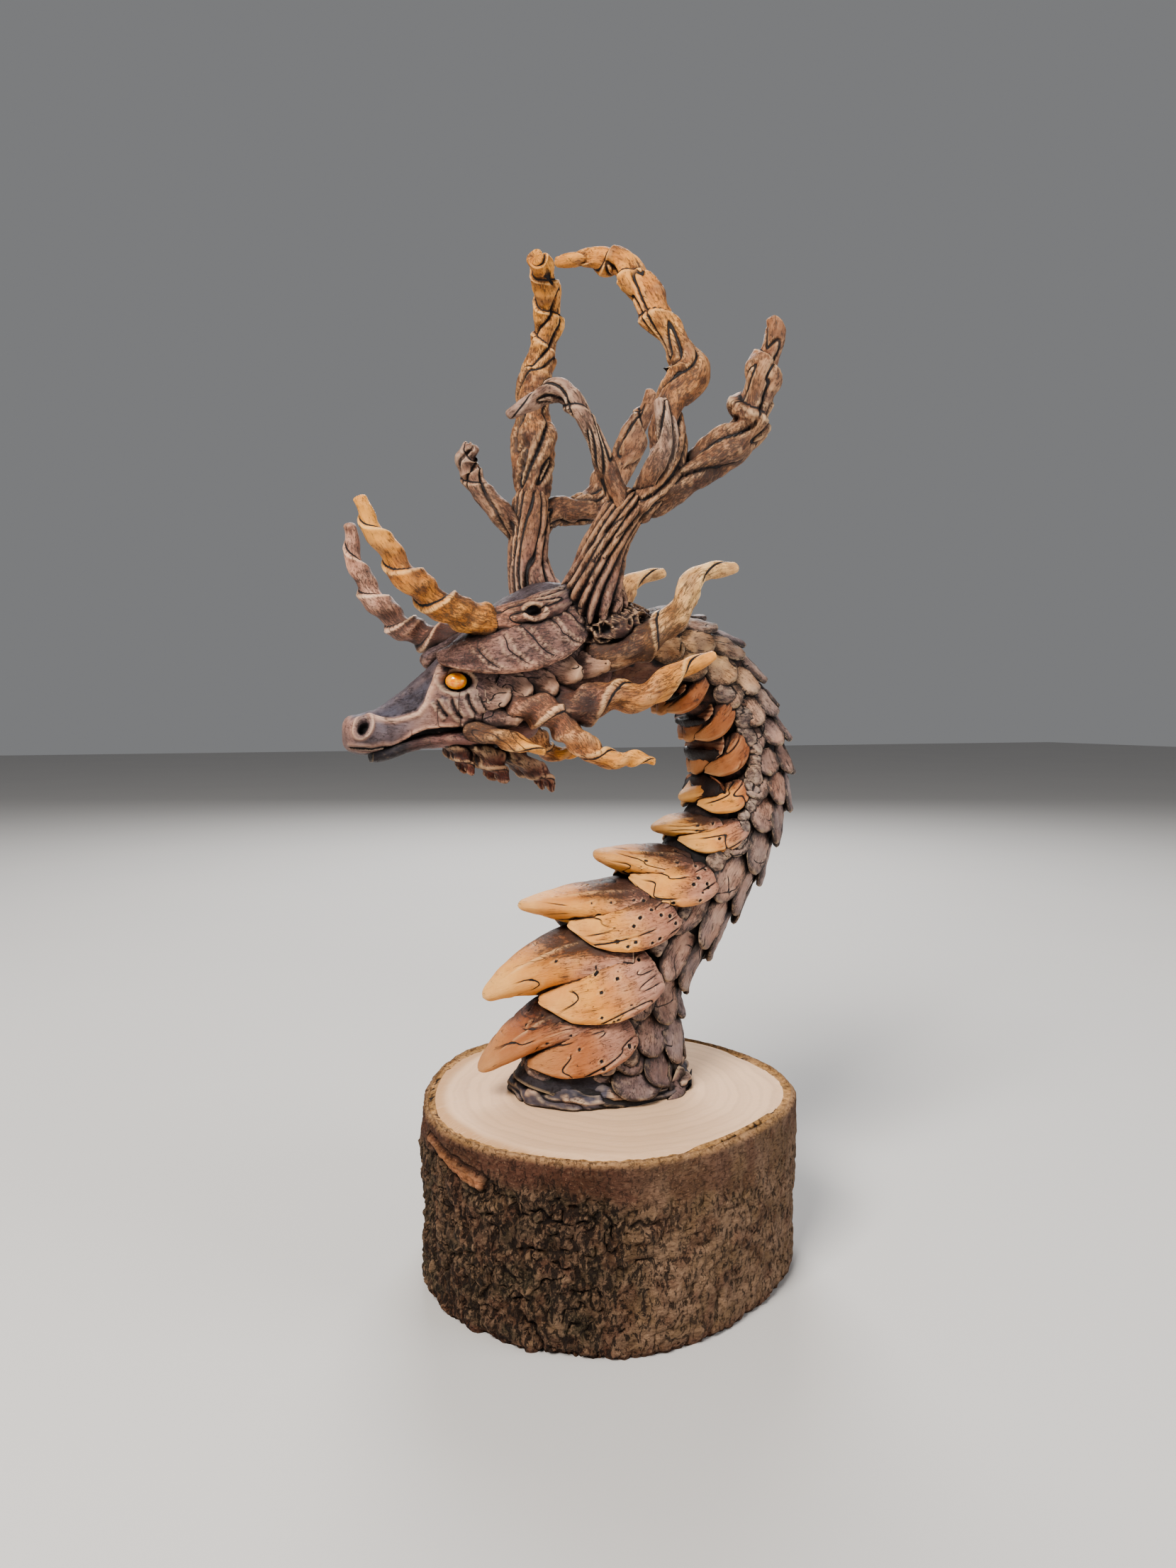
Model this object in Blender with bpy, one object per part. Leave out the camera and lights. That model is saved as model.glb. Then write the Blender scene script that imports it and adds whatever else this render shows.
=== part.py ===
"""A dragon's head and neck modelled in clay, standing on a slice of a log that keeps its bark.

Metres, +Z up. The origin is the middle of the log's underside. The dragon faces -X, its left side is -Y.
The figure is drawn in units: DRAWN_HEIGHT units are FIGURE_HEIGHT, and its own zero is where its foot stands.
"""

import math

import bmesh
import bpy
from mathutils import Matrix, Vector

# The log slice
LOG_WIDTH = 0.085
LOG_HEIGHT = 0.038
LOG_OVAL = 0.975
LOG_BULGE = 0.0009
BARK_THICKNESS = 0.0030
BARK_CHAMFER = 0.0007
LOG_SIDES = 48

# The figure and its seat on the wood
FIGURE_HEIGHT = 0.180
DRAWN_HEIGHT = 180.0
UNIT = FIGURE_HEIGHT / DRAWN_HEIGHT
SEAT_GAP = 0.0003
FOOT_LEVEL = LOG_HEIGHT + SEAT_GAP
CLAY_GRAIN = 0.0007
DRAGON_FACETS = 6600

# The eye beads and their sockets
EYE_LENGTH = 0.0043
EYE_HEIGHT = 0.0034
EYE_DEPTH = 0.0036
EYE_CLEARANCE = 0.0003
EYE_PLACE = (-34.3, -7.5, 88.2)
EYE_TURN = math.radians(14)

# The neck, from the foot up and over to the skull: x, z, half depth, half width, in units
NECK = [
    (-0.6, -1.0, 21.0, 14.5),
    (0.8, 4.6, 17.2, 13.2),
    (4.0, 11.2, 13.3, 11.8),
    (7.3, 24.5, 10.4, 10.6),
    (18.0, 39.5, 11.0, 10.4),
    (27.8, 52.4, 10.6, 10.2),
    (33.0, 63.1, 10.0, 9.5),
    (33.5, 72.4, 9.4, 9.0),
    (30.4, 81.8, 8.8, 8.6),
    (24.2, 89.9, 9.3, 8.6),
    (14.0, 94.3, 9.2, 8.7),
    (3.0, 95.4, 8.6, 8.8),
    (-6.0, 96.0, 8.4, 9.0),
]

# The head, from the nose back: x, underside z, top z, half width
HEAD = [
    (-55.4, 75.6, 79.8, 2.6),
    (-54.6, 74.4, 81.0, 4.2),
    (-52.0, 73.6, 81.8, 5.2),
    (-48.5, 74.2, 83.0, 4.5),
    (-45.0, 75.2, 85.4, 4.3),
    (-41.0, 76.4, 88.6, 5.6),
    (-37.0, 76.6, 92.4, 7.6),
    (-32.0, 76.2, 97.4, 9.2),
    (-26.0, 76.0, 103.0, 10.4),
    (-19.0, 77.5, 107.6, 11.2),
    (-12.0, 80.5, 109.2, 11.2),
    (-5.0, 84.0, 107.0, 10.2),
    (1.0, 88.0, 102.5, 8.4),
]

# The lower jaw: x, underside z, top z, half width
JAW = [
    (-50.4, 71.9, 75.4, 2.6),
    (-46.5, 72.6, 76.0, 3.3),
    (-41.0, 74.4, 77.6, 3.9),
    (-34.0, 74.9, 79.0, 6.2),
    (-26.0, 74.6, 82.0, 7.8),
    (-16.0, 77.0, 84.0, 8.2),
]

# Horns, antlers and spikes: x, y, z, radius at a few places along each
LEFT_HORN = [
    (-18, -8.5, 99.0, 3.2),
    (-28, -10.2, 99.9, 3.5),
    (-39, -13.5, 102.9, 3.0),
    (-44, -14.8, 106.2, 2.8),
    (-48.2, -15.5, 111.1, 2.3),
    (-52, -16, 116.5, 1.8),
    (-54, -16, 121.3, 1.0),
]
RIGHT_HORN = [
    (-18, 8.5, 97.6, 3.2),
    (-29, 11, 98.0, 3.4),
    (-37.1, 13.5, 98.6, 3.2),
    (-42, 14.5, 101.3, 2.9),
    (-46.8, 15.5, 106.5, 2.5),
    (-50.2, 16, 113, 2.0),
    (-51.8, 16, 121.9, 1.3),
]
LEFT_ANTLER = {
    "trunk": [(-5.0, -7.0, 98, 8.0), (-6.2, -9.6, 105.5, 6.6), (-5.6, -12.0, 112.0, 5.0),
              (-3.4, -14.4, 119.0, 4.3), (0.5, -17, 125.5, 3.8)],
    "front_tine": [(-1.5, -16, 120.5, 2.8), (-6.0, -17.8, 128.0, 2.3), (-9.6, -19, 135.2, 2.0),
                   (-13.0, -17.6, 141.6, 2.2), (-17, -15, 143.8, 2.1), (-24.7, -11, 139.5, 0.9)],
    "main_beam": [(-0.5, -16.5, 120.5, 2.8), (5.2, -19.4, 129.6, 3.6), (5.2, -21, 137.2, 3.1),
                  (5.4, -22, 142.6, 3.1), (9.0, -22, 148.0, 3.4), (6.8, -19, 155.5, 2.6),
                  (3.6, -15, 163.4, 3.0), (0.8, -10.6, 171.2, 2.5), (-3.0, -7.6, 173.2, 2.5),
                  (-12.2, -3, 173.6, 1.0)],
    "rear_tine": [(1.0, -16.5, 122.0, 3.0), (7.8, -18.5, 127.5, 3.8), (15.2, -22, 133.2, 3.6),
                  (20.8, -24.2, 138.0, 3.9), (21.8, -26, 145.5, 3.6), (24.6, -26, 152.5, 2.5),
                  (25.9, -26, 159.2, 1.7)],
}
RIGHT_ANTLER = {
    "trunk": [(-8, 7.5, 99, 6.8), (-13.0, 9.5, 109.0, 5.2), (-13.8, 11, 115.4, 4.4),
              (-12.8, 13, 123, 4.2), (-12, 15, 131.5, 3.6)],
    "front_tine": [(-13, 11.5, 119, 2.8), (-18.1, 13.2, 124.2, 2.6), (-24, 16, 131.6, 2.4),
                   (-26, 16, 136.6, 2.2), (-25.4, 13.5, 139.8, 1.7)],
    "main_beam": [(-12.4, 14.4, 127, 3.2), (-10.8, 16.5, 137, 4.5), (-10, 19.5, 148.8, 3.8),
                  (-9.4, 20, 156.4, 3.4), (-7.2, 19.6, 163.6, 3.0), (-7.4, 16.6, 171.6, 2.9),
                  (-10.3, 11, 177.0, 2.4), (-13.2, 7, 178.2, 1.7)],
    "rear_tine": [(-12, 13.2, 121.4, 2.6), (-6.3, 17, 127.2, 3.2), (0.4, 19, 128.2, 3.3),
                  (6, 21, 131.6, 3.4), (12.6, 22.6, 141, 3.1), (18.6, 23, 152.4, 2.5),
                  (20.6, 22, 158.4, 1.4)],
}
# Each of these has its mirror image on the right
SIDE_SPIKES = {
    "nape_spike": [(-8, -9, 93.0, 3.0), (0.5, -13.5, 95.0, 3.4), (5.4, -15.5, 98.1, 3.2),
                   (9.6, -17, 103.2, 2.8), (13.5, -18, 109.4, 2.2), (22.3, -18, 112, 1.0)],
    "cheek_spike": [(-19, -8.5, 85.0, 3.2), (-11, -13, 83.5, 3.8), (-4.4, -16.4, 84.8, 3.2),
                    (2.5, -18.4, 86.4, 2.8), (9.4, -19.9, 90.4, 2.0), (15.8, -21, 94, 0.9)],
    "jowl_spike": [(-25, -8, 85.0, 3.0), (-18.5, -11.9, 82.3, 3.5), (-13.4, -14.5, 79, 3.0),
                   (-8.2, -16.8, 73.2, 2.2), (-1.8, -18.6, 73.1, 1.6), (3.3, -20, 72.2, 0.6)],
    "lip_spike": [(-32.6, -6.4, 78.2, 1.5), (-27.5, -9.8, 77.8, 2.0), (-22.6, -12.0, 75.6, 1.7),
                  (-17.8, -14, 74.2, 0.6)],
    "beard_front": [(-34.5, -2.2, 77.5, 1.8), (-32, -3, 73, 1.7), (-29.9, -3.4, 69.3, 0.5)],
    "beard_middle": [(-29, -3.6, 78, 2.6), (-25.8, -4.2, 71.5, 2.2), (-22.8, -4.6, 67.9, 0.7)],
    "beard_rear": [(-23.5, -2.8, 77.5, 2.6), (-18.4, -3.4, 71.3, 2.1), (-14.2, -3.4, 68.2, 1.4),
                   (-12.8, -3.4, 65.4, 0.5)],
}
# The right nape spike curls up more than the left one
RIGHT_NAPE_LIFT = 4.0

# Belly plates, from the foot up, each as x and z of its tip, of the crown where it leaves the throat, of
# the lowest point of its side lobes and of their rear end, then its half width
PLATES = [
    (-28.6, 6.2, -14.0, 20.6, -9.0, 9.4, 1.0, 18.0, 13.6),
    (-27.3, 22.0, -12.0, 34.8, -5.0, 19.8, 6.5, 31.0, 13.2),
    (-19.7, 41.1, -2.4, 43.8, 0.5, 32.8, 11.0, 42.0, 12.8),
    (-2.6, 51.4, 10.0, 51.4, 12.0, 41.4, 20.4, 48.5, 12.0),
    (11.1, 56.5, 19.6, 58.4, 21.5, 51.9, 28.5, 58.6, 10.8),
    (18.0, 62.8, 25.5, 66.8, 24.5, 60.8, 29.0, 67.0, 9.8),
    (21.2, 68.2, 26.0, 76.0, 25.0, 69.6, 28.6, 77.5, 9.4),
    (19.4, 75.4, 23.4, 82.0, 22.0, 77.2, 26.0, 85.0, 9.0),
    (12.6, 81.4, 16.6, 86.8, 15.4, 83.0, 19.6, 89.6, 8.8),
]

# Scales of the back, in rows from the foot up
SCALE_ROWS = 17
FIRST_ROW = 0.055
LAST_ROW = 0.86
SCALES_IN_ROW = 6

# Lumps of clay round the foot
FOOT_LUMPS = 19
FOOT_DEPTH = 18.6
FOOT_WIDTH = 11.4


def clear_scene():
    """Empties the scene."""
    for thing in list(bpy.data.objects):
        bpy.data.objects.remove(thing)


def material(name, colour, roughness):
    """A plain surface of one colour."""
    made = bpy.data.materials.new(name)
    made.use_nodes = True
    shader = made.node_tree.nodes["Principled BSDF"]
    shader.inputs["Base Color"].default_value = (*colour, 1.0)
    shader.inputs["Roughness"].default_value = roughness
    shader.inputs["Metallic"].default_value = 0.0
    return made


def at(stations, share):
    """The row of numbers at that share of the way along the stations, on a smooth curve through them."""
    place = min(max(share, 0.0), 1.0) * (len(stations) - 1)
    index = min(int(place), len(stations) - 2)
    t = place - index
    rows = [stations[min(max(index + step, 0), len(stations) - 1)] for step in (-1, 0, 1, 2)]
    result = []
    for before, start, end, after in zip(*rows):
        slope_in = (end - before) / 2
        slope_out = (after - start) / 2
        swing = 2 * (start - end) + slope_in + slope_out
        bend = 3 * (end - start) - 2 * slope_in - slope_out
        result.append(((swing * t + bend) * t + slope_in) * t + start)
    return result


def ball(bm, sides, rings, place):
    """Adds a ball of clay pulled to shape by place.

    place gets the share of the way along it, the angle round it, and 0 at its two ends or 1 between them.
    """
    own = bmesh.new()
    bmesh.ops.create_uvsphere(own, u_segments=sides, v_segments=rings, radius=1.0)
    for vertex in own.verts:
        x, y, z = vertex.co
        share = math.acos(max(-1.0, min(1.0, z))) / math.pi
        pole = share < 1e-4 or share > 1 - 1e-4
        angle = 0.0 if pole else math.atan2(y, x)
        vertex.co = place(share, angle, 0.0 if pole else 1.0)
    bmesh.ops.recalc_face_normals(own, faces=own.faces)
    mesh = bpy.data.meshes.new("ball")
    own.to_mesh(mesh)
    own.free()
    bm.from_mesh(mesh)
    bpy.data.meshes.remove(mesh)


def horn(bm, stations, sides, rings, twist_turns=0.0, flatness=0.12):
    """A horn, tine or spike through its stations. Its slightly flat section turns as it goes."""

    def place(share, angle, grown):
        x, y, z, radius = at(stations, share)
        ahead = Vector(at(stations, share + 0.02)[:3])
        behind = Vector(at(stations, share - 0.02)[:3])
        along = (ahead - behind).normalized()
        level = Vector((0.0, 0.31, 0.95)) if abs(along.z) < 0.9 else Vector((0.0, 1.0, 0.0))
        side = along.cross(level).normalized()
        up = side.cross(along)
        swell = 1 + flatness * math.cos(2 * (angle - twist_turns * math.pi * share))
        reach = radius * swell * grown
        return Vector((x, y, z)) + reach * (math.cos(angle) * side + math.sin(angle) * up)

    ball(bm, sides, rings, place)


def petal(bm, spine, outward, half_width, half_thickness, sides, rings, camber=0.0):
    """A flat leaf of clay. Its spine, outward way and half sizes are functions of the share along it."""

    def place(share, angle, grown):
        middle = spine(share)
        along = (spine(min(share + 0.02, 1.0)) - spine(max(share - 0.02, 0.0))).normalized()
        side = along.cross(outward(share)).normalized()
        face = side.cross(along)
        across = math.cos(angle) * half_width(share) * grown
        lift = math.sin(angle) * half_thickness(share) * grown - camber * (across / half_width(0.5)) ** 2
        return middle + across * side + lift * face

    ball(bm, sides, rings, place)


def neck_frame(share):
    """The middle of the neck there, its way up, its front direction, half depth and half width."""
    x, z, depth, width = at(NECK, share)
    ahead, behind = at(NECK, share + 0.01), at(NECK, share - 0.01)
    up = Vector((ahead[0] - behind[0], 0.0, ahead[1] - behind[1])).normalized()
    front = Vector((-up.z, 0.0, up.x))
    return Vector((x, 0.0, z)), up, front, depth, width


def on_neck(share, angle, rise=0.0):
    """A place on the neck's skin: angle 0 is the belly's middle, 90 the left side, 180 the back."""
    middle, _, front, depth, width = neck_frame(share)
    turn = math.radians(angle)
    aside = Vector((0.0, (width + rise) * math.sin(turn), 0.0))
    return middle + (depth + rise) * math.cos(turn) * front - aside


def add_neck(bm):
    """The core that the scales and plates are laid on."""

    def place(share, angle, grown):
        middle, _, front, depth, width = neck_frame(share)
        aside = Vector((0.0, width * math.sin(angle), 0.0))
        return middle + grown * (depth * math.cos(angle) * front + aside)

    ball(bm, 32, 40, place)


def add_block(bm, stations, sides, rings, flatness):
    """A head or jaw lofted through its stations, with sections between an oval and a box."""

    def place(share, angle, grown):
        x, low, high, width = at(stations, share)
        across, lift = math.cos(angle), math.sin(angle)
        across = math.copysign(abs(across) ** flatness, across)
        lift = math.copysign(abs(lift) ** flatness, lift)
        return Vector((x, grown * width * across, (low + high) / 2 + grown * (high - low) / 2 * lift))

    ball(bm, sides, rings, place)


def add_scales(bm):
    """Overlapping scales on the back and sides, their free ends towards the foot."""
    for row in range(SCALE_ROWS):
        share = FIRST_ROW + (LAST_ROW - FIRST_ROW) * row / (SCALE_ROWS - 1)
        _, _, _, depth, _ = neck_frame(share)
        length = 0.80 * depth + 1.6
        step = 205 / SCALES_IN_ROW
        count = SCALES_IN_ROW + row % 2
        for column in range(count):
            angle = 180 + step * (column - (count - 1) / 2)
            reach = length / 172.0

            def spine(t, share=share, angle=angle, reach=reach):
                return on_neck(share + reach * (0.5 - t), angle, -0.7 + 2.3 * t)

            def outward(t, share=share, angle=angle):
                return (on_neck(share, angle, 1.0) - on_neck(share, angle)).normalized()

            def half_width(t, depth=depth):
                return 0.34 * depth * math.sin(math.pi * (0.16 + 0.84 * t) ** 1.25) ** 0.6 + 0.25

            def half_thickness(t):
                return 1.05

            petal(bm, spine, outward, half_width, half_thickness, sides=10, rings=8, camber=0.35)


def add_plate(bm, tip_x, tip_z, crown_x, crown_z, low_x, low_z, rear_x, rear_z, half):
    """One belly plate: a beak that droops to its tip, between two leaves that wrap back round the neck."""
    tip = Vector((tip_x, 0.0, tip_z))
    height = crown_z - low_z
    root = Vector((rear_x - 5.0, 0.0, (rear_z + low_z) / 2 + 0.15 * height))
    crest = Vector((crown_x, 0.0, crown_z - 0.26 * height))

    def beak(t):
        return (1 - t) ** 2 * root + 2 * t * (1 - t) * crest + t ** 2 * tip

    def beak_outward(t):
        way = beak(min(t + 0.02, 1.0)) - beak(max(t - 0.02, 0.0))
        return Vector((0.0, 1.0, 0.0)).cross(way).normalized()

    def beak_width(t):
        return half * (1.0 - t) ** 0.6 + 0.5

    def beak_height(t):
        return 0.62 * height * (1.0 - t) ** 0.62 + 0.6

    petal(bm, beak, beak_outward, beak_width, beak_height, sides=20, rings=16)

    for side in (-1.0, 1.0):
        rear = Vector((rear_x, side * (half - 1.2), rear_z - 0.14 * height))
        belly = Vector((low_x, side * (half + 3.4), (crown_z + low_z) / 2 - 0.10 * height))
        notch = tip.lerp(Vector((low_x, 0.0, low_z)), 0.42) + Vector((0.0, side * 0.46 * half, 0.10 * height))

        def leaf(t, rear=rear, belly=belly, notch=notch):
            return (1 - t) ** 2 * rear + 2 * t * (1 - t) * belly + t ** 2 * notch

        def leaf_outward(t, side=side):
            return Vector((-0.55 * t + 0.1, side, 0.30))

        def leaf_width(t):
            return 0.44 * height * math.sin(math.pi * (0.16 + 0.80 * t)) ** 0.75 + 0.3

        def leaf_thickness(t):
            return 1.7 - 0.6 * t

        petal(bm, leaf, leaf_outward, leaf_width, leaf_thickness, sides=16, rings=16, camber=1.0)


def add_foot_lumps(bm):
    """The rough clay pressed down round the foot."""
    for index in range(FOOT_LUMPS):
        turn = 2 * math.pi * index / FOOT_LUMPS
        size = 3.4 + 0.9 * math.sin(2.1 * index) + 0.5 * math.cos(5.3 * index)
        squat = 0.70 + 0.20 * math.sin(3.7 * index)
        level = 1.2 + 2.2 * (index % 2)
        middle = Vector((FOOT_DEPTH * math.cos(turn) - 0.5, FOOT_WIDTH * math.sin(turn), level))

        def place(share, around, grown):
            flat = size * math.sin(math.pi * share) * grown
            rise = size * squat * math.cos(math.pi * share)
            return middle + Vector((1.25 * flat * math.cos(around), flat * math.sin(around), rise))

        ball(bm, 12, 10, place)


def add_brow(bm, side):
    """The leaf shaped shield over one eye and the side of the skull."""
    stations = [
        (-38.0, 7.2, 92.6, 1.2),
        (-32.0, 10.4, 94.0, 4.6),
        (-25.0, 11.9, 95.8, 6.6),
        (-18.0, 12.2, 98.4, 7.0),
        (-12.0, 10.9, 102.0, 5.6),
        (-7.6, 8.4, 106.0, 1.6),
    ]

    def spine(t):
        x, y, z, _ = at(stations, t)
        return Vector((x, side * y, z))

    def outward(t):
        return Vector((0.0, side * 0.86, 0.5))

    def half_width(t):
        return at(stations, t)[3]

    def half_thickness(t):
        return 1.5 + 0.8 * math.sin(math.pi * t)

    petal(bm, spine, outward, half_width, half_thickness, sides=16, rings=14, camber=1.0)


def add_cheek_scales(bm, side):
    """Short leaves behind the eye and along the jaw, pointing back."""
    leaves = [
        (-27.5, 9.8, 86.5, 7.5, -8, 3.3),
        (-22.8, 11.0, 86.8, 7.5, -4, 3.2),
        (-26.0, 9.6, 81.8, 7.0, -10, 2.9),
        (-17.5, 11.6, 88.6, 7.5, 2, 3.0),
        (-12.5, 11.8, 91.6, 7.5, 6, 3.0),
        (-6.5, 11.0, 92.8, 8.5, 8, 3.4),
    ]
    for x, y, z, length, slope, half in leaves:
        way = Vector((math.cos(math.radians(slope)), side * 0.22, math.sin(math.radians(slope)))).normalized()
        middle = Vector((x, side * y, z))

        def spine(t, middle=middle, way=way, length=length):
            return middle + way * length * (t - 0.5) + Vector((0.0, side * 0.5 * t, 0.0))

        def outward(t):
            return Vector((-0.15, side * 1.0, 0.1))

        def half_width(t, half=half):
            return half * math.sin(math.pi * (0.12 + 0.85 * t)) ** 0.7 + 0.2

        def half_thickness(t):
            return 1.1

        petal(bm, spine, outward, half_width, half_thickness, sides=12, rings=10, camber=0.5)


def add_nose(bm, side):
    """The raised rim round one nostril and the ridge that runs back from it."""
    ridge = [(-53.4, 3.6, 80.2, 1.4), (-50.0, 4.4, 80.6, 1.2), (-45.5, 4.2, 79.2, 0.8)]
    horn(bm, [(x, side * y, z, radius) for x, y, z, radius in ridge], 10, 12)


def socket_cutters(bm, side):
    """What is hollowed out of one side of the head: the eye's socket, the nostril and the mouth's corner."""
    eye = Vector((EYE_PLACE[0], -side * EYE_PLACE[1], EYE_PLACE[2]))
    clear = EYE_CLEARANCE / UNIT
    half = [size / UNIT / 2 + clear for size in (EYE_LENGTH, EYE_DEPTH, EYE_HEIGHT)]
    bead(bm, eye, half, side, 12, 8)
    nostril = [(-52.9, side * 6.4, 79.6, 0.8), (-52.2, side * 4.6, 78.6, 1.5), (-50.6, side * 3.2, 77.6, 0.7)]
    horn(bm, nostril, 8, 6)
    mouth = [(-45.5, side * 5.2, 76.7, 0.25), (-38.0, side * 7.2, 78.0, 0.6), (-31.0, side * 10.0, 78.6, 0.3)]
    horn(bm, mouth, 6, 6)


def bead(bm, middle, half, side, sides, rings):
    """An egg shaped bead, turned to look a little forward."""
    turn = Matrix.Rotation(side * EYE_TURN, 3, "Z")

    def place(share, angle, grown):
        round_it = math.sin(math.pi * share) if grown else 0.0
        reach = Vector((math.cos(angle) * round_it, math.sin(angle) * round_it, math.cos(math.pi * share)))
        return middle + turn @ Vector((reach.x * half[0], reach.y * half[1], reach.z * half[2]))

    ball(bm, sides, rings, place)


def new_object(name, bm, finish, unit=UNIT, level=FOOT_LEVEL):
    """An object from the bmesh, with its drawn units made metres and set on the wood."""
    bmesh.ops.transform(bm, matrix=Matrix.Translation((0, 0, level)) @ Matrix.Scale(unit, 4), verts=bm.verts)
    mesh = bpy.data.meshes.new(name)
    bm.to_mesh(mesh)
    bm.free()
    if finish:
        mesh.materials.append(finish)
    thing = bpy.data.objects.new(name, mesh)
    bpy.context.scene.collection.objects.link(thing)
    return thing


def islands(bm):
    """The faces of the bmesh in groups that hang together, the largest group last."""
    groups = []
    seen = set()
    for first in bm.faces:
        if first in seen:
            continue
        seen.add(first)
        group = [first]
        for face in group:
            for edge in face.edges:
                for other in edge.link_faces:
                    if other not in seen:
                        seen.add(other)
                        group.append(other)
        groups.append(group)
    return sorted(groups, key=len)


def settle(thing):
    """Makes the object's modifiers final, pinches shut the edges where two folds of clay only touch, and
    fills the little pockets that are shut inside it."""
    graph = bpy.context.evaluated_depsgraph_get()
    bm = bmesh.new()
    bm.from_mesh(thing.evaluated_get(graph).to_mesh())
    touching = [edge for edge in bm.edges if len(edge.link_faces) > 2]
    while touching:
        bmesh.ops.collapse(bm, edges=touching)
        touching = [edge for edge in bm.edges if len(edge.link_faces) > 2]
    pockets = [face for group in islands(bm)[:-1] for face in group]
    bmesh.ops.delete(bm, geom=pockets, context="FACES")
    bm.to_mesh(thing.data)
    bm.free()
    thing.modifiers.clear()


def make_log(finish):
    """The log slice, not quite round, with its bark a little lower than the sawn wood at both ends."""
    bm = bmesh.new()
    half = LOG_WIDTH / 2
    outlines = [
        (half - BARK_THICKNESS, 0.0),
        (half - BARK_CHAMFER, BARK_CHAMFER),
        (half, LOG_HEIGHT * 0.45),
        (half - BARK_CHAMFER, LOG_HEIGHT - BARK_CHAMFER),
        (half - BARK_THICKNESS, LOG_HEIGHT),
    ]
    ring = bmesh.ops.create_circle(bm, cap_ends=True, segments=LOG_SIDES, radius=1.0)["verts"]
    edges = list({edge for vertex in ring for edge in vertex.link_edges})
    for index, (radius, level) in enumerate(outlines):
        if index:
            grown = bmesh.ops.extrude_edge_only(bm, edges=edges)["geom"]
            ring = [item for item in grown if isinstance(item, bmesh.types.BMVert)]
            edges = [item for item in grown if isinstance(item, bmesh.types.BMEdge)]
        for vertex in ring:
            angle = math.atan2(vertex.co.y, vertex.co.x)
            wave = LOG_BULGE * (math.cos(3 * angle + 0.6) + 0.6 * math.cos(5 * angle + 2.0)) - 1.6 * LOG_BULGE
            reach = radius + wave
            vertex.co = (math.cos(angle) * reach, math.sin(angle) * reach * LOG_OVAL, level)
    bmesh.ops.contextual_create(bm, geom=edges)
    bmesh.ops.recalc_face_normals(bm, faces=bm.faces)
    log = new_object("log_plinth", bm, finish, unit=1.0, level=0.0)
    log.data.shade_smooth()
    log.data.set_sharp_from_angle(angle=math.radians(30))
    return log


def make_dragon(finish):
    """The whole figure as one body of clay: all its shapes pressed together, then the hollows cut."""
    bm = bmesh.new()
    add_neck(bm)
    add_block(bm, HEAD, 24, 20, 0.82)
    add_block(bm, JAW, 16, 12, 0.85)
    add_scales(bm)
    for plate in PLATES:
        add_plate(bm, *plate)
    add_foot_lumps(bm)
    for side in (-1.0, 1.0):
        add_brow(bm, side)
        add_cheek_scales(bm, side)
        add_nose(bm, side)
        for name, stations in SIDE_SPIKES.items():
            lift = RIGHT_NAPE_LIFT / len(stations) if side > 0 and name == "nape_spike" else 0.0
            turned = [(x, -side * y, z + lift * step, r) for step, (x, y, z, r) in enumerate(stations)]
            horn(bm, turned, 10, 5 * len(stations), twist_turns=3.0, flatness=0.14)
    for stations in (LEFT_HORN, RIGHT_HORN):
        horn(bm, stations, 10, 28, twist_turns=5.0, flatness=0.10)
    for antler in (LEFT_ANTLER, RIGHT_ANTLER):
        for stations in antler.values():
            horn(bm, stations, 10, 5 * len(stations), twist_turns=4.0)
    dragon = new_object("dragon", bm, finish)

    press = dragon.modifiers.new("Press together", "REMESH")
    press.mode = "VOXEL"
    press.voxel_size = CLAY_GRAIN
    settle(dragon)

    cutter_mesh = bmesh.new()
    for side in (-1.0, 1.0):
        socket_cutters(cutter_mesh, side)
    slab = Matrix.Translation((0, 0, -20)) @ Matrix.Diagonal((90, 90, 40, 1))
    bmesh.ops.create_cube(cutter_mesh, size=1.0, matrix=slab)
    cutter = new_object("hollows", cutter_mesh, None)
    cutter.hide_render = True
    cutter.display_type = "WIRE"

    thin = dragon.modifiers.new("Facets", "DECIMATE")
    thin.ratio = DRAGON_FACETS / (2 * len(dragon.data.polygons))
    hollow = dragon.modifiers.new("Hollows", "BOOLEAN")
    hollow.operation = "DIFFERENCE"
    hollow.solver = "EXACT"
    hollow.object = cutter
    settle(dragon)
    return dragon


def make_eye(name, side, finish):
    """One eye bead in its socket."""
    bm = bmesh.new()
    middle = Vector((EYE_PLACE[0], -side * EYE_PLACE[1], EYE_PLACE[2]))
    half = [size / UNIT / 2 for size in (EYE_LENGTH, EYE_DEPTH, EYE_HEIGHT)]
    bead(bm, middle, half, side, 12, 8)
    eye = new_object(name, bm, finish)
    eye.data.shade_smooth()
    return eye


def main():
    """Builds the log, the dragon on it and the dragon's eyes."""
    clear_scene()
    clay = material("clay", (0.47, 0.34, 0.25), 0.6)
    wood = material("wood", (0.38, 0.27, 0.18), 0.85)
    amber = material("amber", (0.86, 0.50, 0.06), 0.2)
    make_log(wood)
    make_dragon(clay)
    make_eye("eye_left", -1.0, amber)
    make_eye("eye_right", 1.0, amber)


main()
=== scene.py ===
"""A clay dragon's head and neck on a slice of a log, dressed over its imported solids.

The figure is drawn in millimetres from where its foot stands, and is set on the wood at the end.
The dragon faces -X and its left side is -Y.
"""

import logging
import math
from collections.abc import Callable, Sequence
from dataclasses import dataclass
from enum import Enum

import bmesh
import bpy
import numpy as np
from mathutils import Matrix, Vector
from mathutils.bvhtree import BVHTree


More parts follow.
